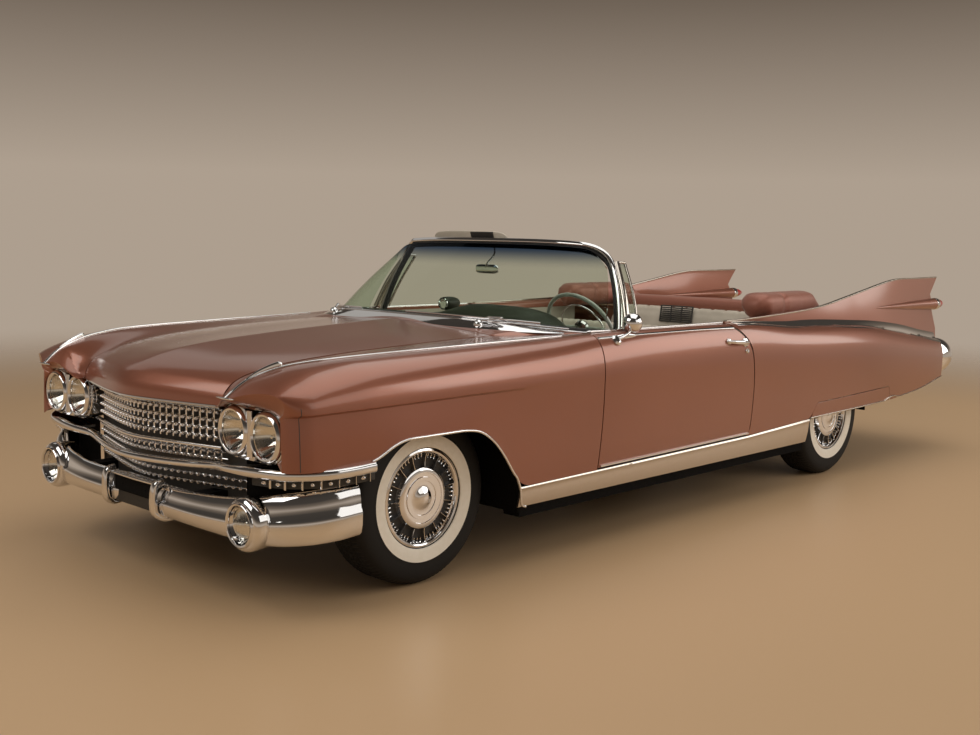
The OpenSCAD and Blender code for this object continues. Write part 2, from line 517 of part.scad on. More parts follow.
// Each cross member: station, lower and upper edge, inner face of the rails
CROSS = [[front_axle - 50, 250, 330, rail_y[0]], [front_axle + 512, 300, 380, rail_y[0]],
    [rear_axle_x - 1366, 340, 410, rear_rail_y[0]]];
module crossmembers() color(black) for (c = CROSS)
    translate([c[0], fit - c[3], c[1]]) cube([90, 2 * (c[3] - fit), c[2] - c[1]]);
module rails() union() {
    translate([0, 0, frame_low]) linear_extrude(frame_high - frame_low) polygon([
        [front_axle - 568, 435], [front_axle - 1328, 130], [rear_axle_x + 1004, 130], [rear_axle_x + 394, 505],
        [rear_axle_x + 394, 405], [rear_axle_x + 924, 0], [rear_axle_x + 394, -405], [rear_axle_x + 394, -505],
        [rear_axle_x + 1004, -130], [front_axle - 1328, -130], [front_axle - 568, -435], [front_axle - 568, -335],
        [front_axle - 1248, 0], [front_axle - 568, 335]]);
    both() {
        rail(rail_y, [[front_axle - 668, frame_low], [front_axle - 348, frame_low], [front_axle - 198, 330],
            [front_axle + 202, 330], [front_axle + 352, 300], [nose_x - 67.5, 300], [nose_x - 67.5, 400],
            [front_axle + 352, 400], [front_axle + 202, 430], [front_axle - 248, 430], [front_axle - 428, frame_high],
            [front_axle - 668, frame_high]]);
        rail(rear_rail_y, [[rear_axle_x + 474, frame_low], [rear_axle_x + 304, frame_low], [rear_axle_x + 174, 400],
            [rear_axle_x - 176, 400], [rear_axle_x - 346, 330], [rear_axle_x - 1440, 330], [rear_axle_x - 1440, 420],
            [rear_axle_x - 326, 420], [rear_axle_x - 196, 500], [rear_axle_x + 204, 500], [rear_axle_x + 360, frame_high],
            [rear_axle_x + 474, frame_high]]);
        translate([front_axle - 500 - pad_size[0] / 2, (rail_y[0] + rail_y[1] - pad_size[1]) / 2, frame_low - pad_size[2]])
            cube([pad_size[0], pad_size[1], pad_size[2] + 1]);
    }
}

// Front wheel housings and rear wheelhouses
module arch_band(x, r, y0, y1, z0) translate([x, y1, tyre_r]) rotate([90, 0, 0]) linear_extrude(y1 - y0) difference() {
    circle(r = r);
    circle(r = r - 8);
    translate([-2 * r, -2 * r]) square([4 * r, 2 * r + z0 - tyre_r]);
}
module arch_wall(x, r, y0, z0) translate([x, y0 + 8, tyre_r]) rotate([90, 0, 0]) linear_extrude(8) difference() {
    circle(r = r);
    translate([-2 * r, -2 * r]) square([4 * r, 2 * r + z0 - tyre_r]);
}
front_arch_r = tyre_r + 96;
rear_arch_r = tyre_r + 45;
module inner_fenders() color(black) both() union() {
    arch_band(front_axle, front_arch_r, rail_y[1] + fit, 900, 580);
    difference() {
        arch_wall(front_axle, front_arch_r, rail_y[1] + fit, 430 + fit);
        translate([front_axle - 40, 430, 400]) cube([80, 30, 64]);
    }
}
module wheelhouses() color(black) both() union() {
    arch_band(rear_axle_x, rear_arch_r, deck_w / 2 + fit, 900, tyre_r);
    arch_wall(rear_axle_x, rear_arch_r, deck_w / 2 + fit, tyre_r + 50);
}

// Side trim of the rear seat, lock pillars and the well under the folded top
well_z = 935.7;
module inner_panels() color(cream) both() union() {
    translate([rear_axle_x + 400, 790, floor_h + fit]) cube([quarter_front - 14 - rear_axle_x - 400, 12, 628]);
    translate([quarter_front - 26, 802, 345]) cube([12, 150, 555]);
    translate([quarter_front - 26, 790, floor_h + fit]) cube([12, 30, 628]);
}

// Bright panels along the sills and skirts over the rear wheels
sill_x = [front_axle - 438, front_axle - 700, door_front, door_front - 600, door_rear, door_rear - 320, rear_axle_x + 478];
module sill_trims() color(bright) both() shell(
    [for (s = [0, 0.3, 0.6, 1]) [for (x = sill_x) below(x, mix(sill_low, sill_top(x) - 0.6, s)) + [0, 3 * sin(180 * s), 0]]],
    [for (s = [0, 0.3, 0.6, 1]) [for (x = sill_x) below(x, mix(sill_low, sill_top(x) - 0.6, s)) - [0, 14, 0]]]);
skirt_x = [for (d = [452, 430, 412, 250, 80, -90, -300, -512, -530, -545]) rear_axle_x + d];
function skirt_point(x, s) = below(x, mix(mix(398, 410, (rear_axle_x + 452 - x) / 1000), edge_z(QUARTER_LOW, x) - 0.8, s));
module fender_skirts() color(paint) both() shell(
    [for (s = [0, 0.5, 1]) [for (x = skirt_x) skirt_point(x, s)]],
    [for (s = [0, 0.5, 1]) [for (x = skirt_x) skirt_point(x, s) - [0, skin, 0]]]);

// Grille: a sheet of rows of pointed studs that follows the nose
stud_h = 20;
module studs(half_y, z, n, m, back) {
    function at(i, j, d) = let (y = mix(-half_y, half_y, i / (2 * n))) [prow(y) - back - d, y, mix(z[0], z[1], j / (2 * m))];
    shell([for (i = [0:2 * n]) [for (j = [0:2 * m]) at(i, j, i % 2 == 1 && j % 2 == 1 ? 0 : stud_h)]],
        [for (i = [0:2 * n]) [for (j = [0:2 * m]) at(i, j, stud_h + 8)]]);
}
module grille() color(bright) {
    studs(472.7, [512, 688], 22, 4, 50);
    studs(560, [400 + fit, 468], 24, 2, 102);
}
// Bar between the two halves of the grille: station and distance from the middle, height
BAR = [[prow(0) - 24, 0, 490], [prow(160) - 24, 160, 490], [prow(330) - 24, 330, 492], [prow(470) - 20, 470, 498],
    [front_axle + 706, 590, 506], [front_axle + 702, 720, 512], [front_axle + 664, 868, 518],
    [front_axle + 572, 964, 524], [front_axle + 470, 1000, 531], [front_axle + 372, 1006, 537]];
function mirrored(t) = concat([for (i = [len(t) - 1:-1:1]) [t[i][0], -t[i][1], t[i][2]]], t);
module grille_bar() color(bright) strip(mirrored(BAR), 40, 34);

// Front bumper: station and distance from the middle, lower and upper edge
BUMPER = [[nose_x - 58.5, 0, 256, 428], [nose_x - 58.5, 158, 256, 428], [nose_x - 14, 176, 256, 430],
    [nose_x - 10, 196, 256, 430], [nose_x - 30, 216, 257, 430], [nose_x - 38, 400, 258, 432],
    [nose_x - 52, 560, 262, 438], [nose_x - 78, 717, 266, 446], [nose_x - 122, 850, 272, 470],
    [nose_x - 207, 950, 282, 494], [nose_x - 307, 994, 292, 506], [nose_x - 385, 1004, 300, 510]];
bumper_path = concat([for (i = [len(BUMPER) - 1:-1:1]) [BUMPER[i][0], -BUMPER[i][1]]], [for (b = BUMPER) [b[0], b[1]]]);
bumper_z = concat([for (i = [len(BUMPER) - 1:-1:1]) [BUMPER[i][2], BUMPER[i][3]]], [for (b = BUMPER) [b[2], b[3]]]);
function bar_section(z, depth) = [for (q = [[-depth, 0.08], [-14, 0], [0, 0.16], [6, 0.5], [0, 0.82], [-16, 1], [-depth, 0.94]])
    [q[0], mix(z[0], z[1], q[1])]];
pod_y = 726;
pod_z = 341;
fog_r = 68;
module pod(x, y, z, r, len, lens_r) translate([x, y, z]) rotate([0, -90, 0]) rotate_extrude() polygon([[0, len],
    [0, 26], [lens_r, 26], [lens_r + 6, 4], [lens_r + 14, 0], [r - 10, 8], [r, 26], [r, len]]);
module front_bumper() color(bright) union() {
    loft([for (i = [0:len(bumper_path) - 1]) ring(bumper_path, i, bar_section(bumper_z[i], 26))]);
    both() pod(nose_x - 16, pod_y, pod_z, pod_r, 100, fog_r);
}

// Headlamps
module lamp_slot(r) {
    for (s = [-1, 1]) translate([s * lamp_pitch / 2, 0]) circle(r = r);
    translate([-lamp_pitch / 2, -r]) square([lamp_pitch, 2 * r]);
}
housing_back = 76;
module at_lamps(x) translate([x, lamp_mid_y, lamp_h]) rotate([90, 0, 90]) children();
module lamp_housings() color(paint) both() at_lamps(lamp_face - skin - fit - housing_back) linear_extrude(housing_back)
    difference() {
        lamp_slot(rim_half_h + 10);
        for (s = [-1, 1]) translate([s * lamp_pitch / 2, 0]) circle(r = lamp_r - 24);
    }
module lamp_rims() color(bright) both() at_lamps(lamp_face - skin) for (s = [-1, 1]) translate([s * lamp_pitch / 2, 0, 0])
    rotate_extrude() polygon([[lamp_r - 20, 0], [lamp_r, 0], [lamp_r, 20], [lamp_r - 5, 30], [lamp_r - 14, 32], [lamp_r - 20, 22]]);
module lamp_lenses() color([0.9, 0.9, 0.85]) both() {
    at_lamps(lamp_face - skin) for (s = [-1, 1]) translate([s * lamp_pitch / 2, 0, 0])
        rotate_extrude() polygon([[0, 0], [lamp_r - 20 - fit, 0], [lamp_r - 20 - fit, 20], [lamp_r * 0.5, 29], [0, 33]]);
    translate([nose_x - 42 + fit, pod_y, pod_z]) rotate([0, 90, 0]) rotate_extrude()
        polygon([[0, 0], [fog_r - fit, 0], [fog_r - fit, 6], [fog_r / 2, 13], [0, 15]]);
}

// Rear end
tail_x = -half_len;
rear_pod_r = 122;
rear_pod_y = 828;
rear_pod_z = 618;
rear_path = [[tail_x + 40, -735], [tail_x + 22, -400], [tail_x + 16, 0], [tail_x + 22, 400], [tail_x + 40, 735]];
module rear_bumper() color(bright) union() {
    loft([for (i = [0:len(rear_path) - 1]) ring([for (p = rear_path) [p[0], -p[1]]], i, bar_section([432, 590], 60))]);
    both() translate([tail_x, rear_pod_y, rear_pod_z]) rotate([0, 90, 0]) rotate_extrude() polygon([[0, 140],
        [0, 34], [66, 34], [72, 8], [84, 0], [104, 10], [rear_pod_r - 4, 40], [rear_pod_r, 80], [rear_pod_r, 140]]);
    both() translate([tail_x + 76, 620, 450]) cube([trunk_end - 14 - fit - tail_x - 76, 140, 110]);
}
module tail_panel() color(paint) translate([trunk_end - 14, -690, trunk_h]) cube([14, 1380, 226]);
module tail_lamps() color([0.7, 0.05, 0.04]) both() for (y = [752, 842]) translate([rear_axle_x - 1444.5, y, nacelle_z])
    rotate([0, -90, 0]) rotate_extrude() polygon([[0, 0], [nacelle_r - 4, 0], [nacelle_r - 4, 40], [nacelle_r - 14, 90], [8, 148], [0, 154]]);

// Cover over the folded top: station and distance from the middle
boot_w = 190;
boot_h = 144;
BOOT = [[rear_axle_x + 694, 690], [rear_axle_x + 500, 692], [rear_axle_x + 250, 680], [rear_axle_x + 20, 650],
    [rear_axle_x - 130, 560], [rear_axle_x - 200, 400], [rear_axle_x - 220, 180], [rear_axle_x - 222, 0]];
boot_z = well_z + fit + boot_h / 2;
boot_path = concat([for (p = BOOT) [p[0], p[1], boot_z]], [for (i = [len(BOOT) - 2:-1:0]) [BOOT[i][0], -BOOT[i][1], boot_z]]);
module boot_cover() color(paint) strip(boot_path, boot_w, boot_h);

// Seats
module cushion(x0, x1, z0, z1, w) difference() {
    translate([0, w / 2, 0]) rotate([90, 0, 0]) linear_extrude(w) polygon([[x0, z0], [x1 - 20, z0], [x1, z0 + 40],
        [x1 - 6, z1 - 40], [x1 - 60, z1], [x0 + 40, z1 - 24], [x0, z1 - 60]]);
    translate([x0 - 10, -tunnel_w - fit, z0 - 10]) cube([x1 - x0 + 20, 2 * (tunnel_w + fit), tunnel_h + wall_t + fit - z0 + 10]);
}
module backrest(x, z0, z1, w) translate([0, w / 2, 0]) rotate([90, 0, 0]) linear_extrude(w)
    polygon([[x, z0], [x - 110, z0], [x - 190, z1 - 40], [x - 170, z1], [x - 100, z1], [x - 70, z1 - 40]]);
seat_front = front_axle - 1570;
rear_seat_front = rear_axle_x + 820;
module front_seat() color(cream) {
    cushion(seat_front - 520, seat_front, floor_h + fit, 500, seat_w);
    backrest(seat_front - 520 - fit, tunnel_h + wall_t + fit, 905, seat_w);
}
module rear_seat() color(cream) {
    cushion(rear_axle_x + 384 + fit, rear_seat_front, floor_h + fit, 490, 1160);
    backrest(rear_axle_x + 384, shelf_h + wall_t + fit, 960, 1160);
}

// Steering wheel and column
wheel_at = [front_axle - 1548, 380, 915];
column_tilt = 30;
column_r = 22;
post_r = 12;
module on_column() translate(wheel_at) rotate([0, 90 + column_tilt, 0]) children();
column_len = (firewall_x - fit - wheel_at[0]) / cos(column_tilt) - column_r * tan(column_tilt);
module steering_column() color(cream) on_column() union() {
    translate([0, 0, 30]) cylinder(r = column_r, h = column_len - 30);
    translate([0, 0, -6]) cylinder(r = post_r, h = 56);
}
module steering_wheel() color(cream) on_column() difference() {
    union() {
        rotate_extrude() translate([wheel_ring_r, 0]) circle(r = ring_tube_r);
        translate([0, 0, -14]) cylinder(r = 40, h = 42);
        translate([-9, -wheel_ring_r, -6]) cube([18, 2 * wheel_ring_r, 12]);
    }
    translate([0, 0, -8]) cylinder(r = post_r + pin_gap, h = 60);
}

// Power train and tank
module engine() color([0.2, 0.22, 0.25]) union() {
    translate([front_axle - 560, -290, 330 + fit]) cube([820, 580, 430]);
    translate([front_axle - 880, -120, tyre_r - 90]) cube([340, 240, 280]);
}
module radiator() color(black) translate([front_axle + 480, -320, 380 + fit]) cube([70, 640, 370]);
module driveshaft() color(black) translate([rear_axle_x + 180, 0, tyre_r]) rotate([0, 90, 0])
    cylinder(r = shaft_r, h = front_axle - 880 - fit - rear_axle_x - 180);
module exhaust() color([0.4, 0.38, 0.36]) both() union() {
    translate([rear_axle_x - 1346, 300, 166]) rotate([0, 90, 0]) cylinder(r = 26, h = front_axle - 700 - rear_axle_x + 1346);
    translate([rear_axle_x - 1100, 300, 200]) rotate([0, 90, 0]) cylinder(r = 66, h = 600);
    translate([front_axle - 730, 300, 166]) cylinder(r = 8, h = frame_low - 166 - fit);
    translate([rear_axle_x - 1326, 300, 166]) cylinder(r = 8, h = 340 - 166 - fit);
}
module fuel_tank() color(black) translate([rear_axle_x - 1270, -370, trunk_h - 125 - fit]) cube([400, 740, 125]);

// Axles and wheels
kingpin_y = track / 2 - 119.5;
hub_in = 70;
drum_r = 150;
module spindle(y0) {
    translate([0, y0, 0]) rotate([-90, 0, 0]) cylinder(r = spindle_r, h = track / 2 + 15 - y0);
    translate([0, track / 2 - hub_in - 14, 0]) rotate([-90, 0, 0]) cylinder(r = drum_r, h = 11);
}
module rear_axle() color(black) translate([rear_axle_x, 0, tyre_r]) union() {
    both() spindle(0);
    both() rotate([-90, 0, 0]) cylinder(r = 42, h = track / 2 - hub_in - 10);
    sphere(r = 132);
    rotate([0, 90, 0]) cylinder(r = 48, h = 180 - fit);
    both() translate([0, 470, 0]) cylinder(r = 36, h = 400 - tyre_r - fit);
}
module knuckle() translate([front_axle, 0, tyre_r]) difference() {
    union() {
        spindle(kingpin_y);
        translate([0, kingpin_y, -62]) cylinder(r = 28, h = 124);
    }
    translate([0, kingpin_y, -80]) cylinder(r = kingpin_r + pin_gap, h = 160);
}
module knuckle_left() color(black) knuckle();
module knuckle_right() color(black) mirror([0, 1, 0]) knuckle();
module front_suspension() color(black) both() translate([front_axle, 0, tyre_r]) union() {
    translate([0, kingpin_y, -100]) cylinder(r = kingpin_r, h = 200);
    for (z = [[-100, 34, 369 + fit], [80 + fit, 22, 380]]) {
        translate([0, kingpin_y, z[0]]) cylinder(r = 24, h = z[1]);
        translate([-24, z[2], z[0]]) cube([48, kingpin_y - z[2], z[1]]);
    }
}
module at_wheel(x) translate([x, track / 2, tyre_r]) rotate([-90, 0, 0]) children();
// Tyre section: share of the height above the rim, share of the half width
TYRE = [[0, 0.74], [0.09, 0.9], [0.25, 0.975], [0.5, 1], [0.72, 0.985], [0.88, 0.86], [0.97, 0.66], [0.995, 0.4]];
module tyre(x) at_wheel(x) rotate_extrude() polygon([for (s = [-1, 1]) for (i = [0:len(TYRE) - 1])
    let (t = TYRE[s < 0 ? i : len(TYRE) - 1 - i]) [mix(rim_r + fit, tyre_r, t[0] / 0.995), s * t[1] * tyre_w / 2]]);
module wheel(x) at_wheel(x) rotate_extrude() polygon([[spindle_r + pin_gap, -hub_in], [60, -hub_in], [60, 4],
    [rim_r - 14, 4], [rim_r - 14, -84], [rim_r + 10, -101], [rim_r + 13, -98], [rim_r, -80], [rim_r, 80],
    [rim_r + 13, 98], [rim_r + 7, 103], [150, 93], [138, 84], [98, 86], [86, 97], [42, 104], [0, 105], [0, 18],
    [spindle_r + pin_gap, 18]]);
module tyre_front_left() color(black) tyre(front_axle);
module tyre_front_right() color(black) mirror([0, 1, 0]) tyre(front_axle);
module tyre_rear_left() color(black) tyre(rear_axle_x);
module tyre_rear_right() color(black) mirror([0, 1, 0]) tyre(rear_axle_x);
module wheel_front_left() color(bright) wheel(front_axle);
module wheel_front_right() color(bright) mirror([0, 1, 0]) wheel(front_axle);
module wheel_rear_left() color(bright) wheel(rear_axle_x);
module wheel_rear_right() color(bright) mirror([0, 1, 0]) wheel(rear_axle_x);

// Pins and brackets of the hood and the trunk lid
bracket_t = 10;
module hinge_pin(x, z) translate([x, hinge_y + 15 + bracket_t + 2, z]) rotate([90, 0, 0])
    cylinder(r = hood_pin_r, h = 2 * (15 + bracket_t + 2));
module lid_hinges() color(black) both() {
    union() {
        hinge_pin(hood_pin_x, hood_pin_z);
        for (y = [hinge_y - 17 - bracket_t, hinge_y + 17]) {
            translate([hood_pin_x - 9, y, 820]) cube([18, bracket_t, hood_pin_z + 7.5 - 820]);
            translate([firewall_x + wall_t + fit, y, 820]) cube([hood_pin_x - firewall_x - wall_t - fit, bracket_t, 34]);
        }
    }
    union() {
        hinge_pin(lid_pin_x, lid_pin_z);
        for (y = [hinge_y - 17 - bracket_t, hinge_y + 17]) {
            translate([lid_pin_x - 9, y, lid_pin_z - 45]) cube([18, bracket_t, 55]);
            translate([lid_pin_x - 9, y, lid_pin_z - 45]) cube([bulkhead_x - fit - lid_pin_x + 9, bracket_t, 22]);
        }
    }
}

// Wall between the trunk and the well of the folded top, with the well's floor
bulkhead_x = trunk_step + 2;
module bulkhead() color(black) union() {
    translate([bulkhead_x, -deck_w / 2, shelf_h + wall_t + fit]) cube([wall_t, deck_w, well_z - shelf_h - 2 * wall_t]);
    translate([bulkhead_x, -deck_w / 2, well_z - wall_t]) cube([rear_axle_x + 160 - bulkhead_x, deck_w, wall_t]);
}

// Brackets that take the number plates
plate_bolt = 177.8;
bolt_r = 3.5;
bracket_w = 300;
bracket_h = 60;
module plate_bracket(x, z) translate([x, 0, z]) rotate([0, 90, 0]) linear_extrude(4) difference() {
    translate([-bracket_h / 2, -bracket_w / 2]) square([bracket_h, bracket_w]);
    for (s = [-1, 1]) translate([0, s * plate_bolt / 2]) circle(r = bolt_r);
}
module plate_brackets() color(bright) {
    plate_bracket(nose_x - 52, 362);
    plate_bracket(tail_x + 5.7, 511);
}

// Vent windows on the doors
VENT = [[front_axle - 1290, 890, belt_h + 7.3], [front_axle - 1372, 746, 1262], [front_axle - 1440, 740, 1258],
    [front_axle - 1372, 884, belt_h + 7.3]];
module vent() {
    strip(concat([for (i = [3, 0, 1, 2]) VENT[i]], [VENT[3] + [4, -2, 20]]), 14, 14);
}
module vent_left() color(bright) vent();
module vent_right() color(bright) mirror([0, 1, 0]) vent();

frame();
floor_pan();
cowl();
cowl_frame();
dashboard();
fender_left();
fender_right();
quarter_left();
quarter_right();
tail_panel();
sill_trims();
fender_skirts();
inner_fenders();
wheelhouses();
inner_panels();
windshield_frame();
windshield_glass();
grille();
grille_bar();
front_bumper();
lamp_housings();
lamp_rims();
lamp_lenses();
rear_bumper();
tail_lamps();
boot_cover();
front_seat();
rear_seat();
steering_column();
engine();
radiator();
exhaust();
rear_axle();
driveshaft();
front_suspension();
fuel_tank();
door_hinges();
lid_hinges();
bulkhead();
plate_brackets();
crossmembers();
hood();
trunk_lid();
door_left();
door_right();
vent_left();
vent_right();
knuckle_left();
knuckle_right();
tyre_front_left();
tyre_front_right();
tyre_rear_left();
tyre_rear_right();
wheel_front_left();
wheel_front_right();
wheel_rear_left();
wheel_rear_right();
steering_wheel();
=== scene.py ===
"""Looks of an open two-door car of the 1950s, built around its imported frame.

Lengths are millimetres in the car's own frame (X forward, Y left, Z up) until a mesh is made.
"""
import math

import bmesh
import bpy
import numpy as np
from mathutils import Matrix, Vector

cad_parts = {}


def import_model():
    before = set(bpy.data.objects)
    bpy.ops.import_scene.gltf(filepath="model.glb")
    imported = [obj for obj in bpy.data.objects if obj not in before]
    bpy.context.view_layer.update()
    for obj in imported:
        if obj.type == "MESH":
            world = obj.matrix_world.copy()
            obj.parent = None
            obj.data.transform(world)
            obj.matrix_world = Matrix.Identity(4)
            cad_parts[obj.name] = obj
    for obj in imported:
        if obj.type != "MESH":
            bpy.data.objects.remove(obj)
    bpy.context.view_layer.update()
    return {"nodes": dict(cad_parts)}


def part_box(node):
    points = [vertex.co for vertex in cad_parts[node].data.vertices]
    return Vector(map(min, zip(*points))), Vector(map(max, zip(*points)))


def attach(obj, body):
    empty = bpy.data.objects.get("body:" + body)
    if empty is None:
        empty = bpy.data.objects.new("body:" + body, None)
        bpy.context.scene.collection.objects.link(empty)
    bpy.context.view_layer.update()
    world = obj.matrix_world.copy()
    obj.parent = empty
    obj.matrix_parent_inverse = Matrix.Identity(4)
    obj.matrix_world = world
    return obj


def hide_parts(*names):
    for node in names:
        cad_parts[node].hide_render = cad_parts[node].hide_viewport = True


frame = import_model()
MM = 0.001


def middle(node, axis):
    """Middle of a node's box along an axis."""
    low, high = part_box(node)
    return (low[axis] + high[axis]) / 2 / MM


def half_width(node):
    low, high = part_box(node)
    return (high[1] - low[1]) / 2 / MM


# Sizes
FRONT_AXLE = middle("tyre_front_left", 0)
REAR_AXLE = middle("tyre_rear_left", 0)
HALF_TRACK = middle("tyre_front_left", 1)
TYRE_R = middle("tyre_front_left", 2)
TYRE_HALF_W = half_width("tyre_front_left")
NOSE = FRONT_AXLE + 809
TAIL = -NOSE
HALF_W = 1018
HOOD_REAR = FRONT_AXLE - 600
DOOR_FRONT = FRONT_AXLE - 945
DOOR_REAR = REAR_AXLE + 1122
GAP = 6
QUARTER_FRONT = DOOR_REAR - 8 - GAP
LID_FRONT = REAR_AXLE - 390
TAIL_EDGE = REAR_AXLE - 1440
SILL_LOW = 262
WIDE_H = 770
BELT_H = 962
TUCK = 38
CREASE, CREASE_DROP = 15, 10
NOSE_POINT, NOSE_ROUND, NOSE_REACH = 110, 120, 400
NOSE_HALF_W = 505
LAMP_H = 658
LAMP_Y = 690
LAMP_PITCH = 198
LAMP_R = 92
LAMP_FACE = FRONT_AXLE + 680
LAMP_FIELD_Y, LAMP_FIELD_Z = 205, 108
FENDER_LIP = FRONT_AXLE + 700
FENDER_END = DOOR_FRONT + GAP
ARCH_FRONT = FRONT_AXLE + 363
BROW = 95
CHEEK, CHEEK_L = 66, 96
FIN_EDGE = 18
NACELLE_Z = 974
NACELLE_R = 38
LAMP_PAIR = (752, 842)
SHEET = 3
POD_X, POD_Y, POD_Z, POD_R, FOG_R = NOSE - 46, 726, 341, 100, 68


# Curves of the body
def along(table, column, x):
    """Smooth value of a column at x in a table whose first column is the station."""
    rows = sorted(table)
    xs = np.array([r[0] for r in rows], float)
    ys = np.array([r[column] for r in rows], float)
    slope = np.empty_like(ys)
    slope[1:-1] = (ys[2:] - ys[:-2]) / (xs[2:] - xs[:-2])
    slope[0] = (ys[1] - ys[0]) / (xs[1] - xs[0])
    slope[-1] = (ys[-1] - ys[-2]) / (xs[-1] - xs[-2])
    x = np.clip(np.asarray(x, float), xs[0], xs[-1])
    i = np.clip(np.searchsorted(xs, x, side="right") - 1, 0, len(xs) - 2)
    h = xs[i + 1] - xs[i]
    s = (x - xs[i]) / h
    return ((2 * s**3 - 3 * s**2 + 1) * ys[i] + (s**3 - 2 * s**2 + s) * h * slope[i]
            + (3 * s**2 - 2 * s**3) * ys[i + 1] + (s**3 - s**2) * h * slope[i + 1])


def line(table, x):
    """Value at x on straight lines between the rows (station, value)."""
    rows = sorted(table)
    return np.interp(x, [r[0] for r in rows], [r[1] for r in rows])


def soft(table, x, reach=64):
    """The same with its corners rounded over a reach to both sides."""
    return np.mean([line(table, np.asarray(x) + d) for d in np.linspace(-reach, reach, 13)], axis=0)


def mix(a, b, s):
    """a where s is 0, b where it is 1."""
    return a + (b - a) * s


def ramp(v):
    """The value held between 0 and 1."""
    return np.clip(v, 0, 1)


def power(v, e):
    """A power that keeps the sign."""
    return np.sign(v) * np.abs(v) ** e


def xyz(x, y, z):
    """Points from coordinates that are spread over one grid."""
    return np.stack(np.broadcast_arrays(np.asarray(x, float), y, z), -1)


# Station, inset of the widest line, its height, inset of the fender's crest or belt, its height
SIDE = [
    (NOSE, 108, 745, 328, 782), (FRONT_AXLE + 720, 62, 750, 310, 850),
    (FRONT_AXLE + 628, 42, 753, 290, 885),
    (FRONT_AXLE + 536, 30, 756, 262, 905), (FRONT_AXLE + 342, 15, 760, 206, 923),
    (FRONT_AXLE - 153, 4, 768, 168, 937), (FRONT_AXLE - 692, 2, WIDE_H, 138, 948),
    (DOOR_FRONT, 1, WIDE_H, 112, BELT_H - 6), (DOOR_FRONT - 375, 0, WIDE_H, 88, BELT_H),
    (DOOR_REAR, 0, WIDE_H - 8, 86, BELT_H - 8), (REAR_AXLE + 607, 1, WIDE_H - 30, 94, BELT_H - 45),
    (REAR_AXLE - 279, 9, 708, 122, 882), (REAR_AXLE - 887, 36, 665, 137, 806),
    (REAR_AXLE - 1250, 60, 635, 146, 762), (REAR_AXLE - 1460, 80, 618, 152, 738)]


def wide_y(x):
    return HALF_W - along(SIDE, 1, x)


def wide_z(x):
    return along(SIDE, 2, x)


def crest_y(x):
    return HALF_W - along(SIDE, 3, x)


def crest_z(x):
    return along(SIDE, 4, x)


ARCH_H = TYRE_R + 277
SILL_TOP = [(REAR_AXLE + 474, 397), (DOOR_REAR, 372), (FRONT_AXLE - 448, 352)]
FENDER_LOW = [
    (NOSE, 548), (ARCH_FRONT, 552), (FRONT_AXLE + 253, ARCH_H - 2), (FRONT_AXLE - 122, ARCH_H),
    (FRONT_AXLE - 207, ARCH_H - 23), (FRONT_AXLE - 319, ARCH_H - 126), (FRONT_AXLE - 425, 352),
    (DOOR_FRONT, 356)]
QUARTER_LOW = [
    (QUARTER_FRONT, 373), (REAR_AXLE + 474, 397), (REAR_AXLE + 412, 483), (REAR_AXLE - 512, 502),
    (REAR_AXLE - 559, 409), (REAR_AXLE - 1036, 437), (REAR_AXLE - 1460, 496)]
# Depth below the belt, place of the door's rear edge ahead of its station
DOOR_EDGE = [(0, 158), (19, 148), (45, 102), (103, 38), (176, 10), (297, -6), (402, -9)]


def sill_top(x):
    return line(SILL_TOP, x)


def door_front_at(z):
    return mix(DOOR_FRONT + 4, DOOR_FRONT - 6, ramp((z - 340) / 620))


def door_rear_at(z):
    return DOOR_REAR + along(DOOR_EDGE, 1, BELT_H - z) + 40 * ramp((420 - z) / 60) ** 2


def below(x, z):
    """A point of the side below its widest line."""
    return xyz(x, wide_y(x) - TUCK * ramp((wide_z(x) - z) / (wide_z(x) - SILL_LOW)) ** 2.2, z)


def above(x, s):
    """A point of the side between its widest line (0) and the crest (1)."""
    c, k = np.cos(np.pi / 2 * s), np.sin(np.pi / 2 * s)
    return xyz(x, mix(crest_y(x), wide_y(x), np.maximum(c, 0) ** 0.83),
               mix(wide_z(x), crest_z(x), np.maximum(k, 0) ** 0.95))


def shoulder(x, z):
    """The point of the side at height z between its widest line and the crest."""
    k = ramp((z - wide_z(x)) / (crest_z(x) - wide_z(x))) ** (1 / 0.95)
    return above(x, np.arcsin(k) / (np.pi / 2))


def prow(y):
    """Station of the nose's lip at a distance from the middle."""
    return NOSE - NOSE_POINT * (np.sqrt(y * y + NOSE_ROUND**2) - NOSE_ROUND) / NOSE_REACH


# Distance behind the lip, height of the hood at the middle and at its edge
HOOD = [(0, 742, 742), (-6, 776, 769), (-21, 806, 797), (-50, 837, 826), (-110, 864, 853), (-222, 892, 881),
        (-428, 919, 906), (-700, 940, 924), (-1000, 957, 938), (-1532, 981, 952)]
# Station, then distance from the middle and height of the fin's top, its inner foot and the deck's edge
FIN = [(QUARTER_FRONT, 906, 966, 884, 962, 852, 930), (REAR_AXLE + 505, 864, 982, 838, 966, 815, 930),
       (REAR_AXLE + 127, 842, 1003, 808, 972, 786, 935), (REAR_AXLE - 279, 822, 1056, 765, 962, 720, 945),
       (REAR_AXLE - 446, 817, 1080, 742, 952, 690, 941), (REAR_AXLE - 887, 809, 1141, 716, 910, 660, 902),
       (REAR_AXLE - 1246, 804, 1147, 706, 868, 655, 862), (REAR_AXLE - 1558, 800, 1150, 700, 830, 650, 818)]
TOP_Y, TOP_Z, FOOT_Y, FOOT_Z, DECK_Y, DECK_Z = range(1, 7)
BASE_HALF_W, BASE_REAR, BASE_DEPTH = 846, FRONT_AXLE - 1243, 540
TOP_HALF_W, TOP_REAR, WINDSHIELD_H = 698, FRONT_AXLE - 1336, 1350
COWL_SEAM = 76


def fin(column, x):
    return along(FIN, column, x)


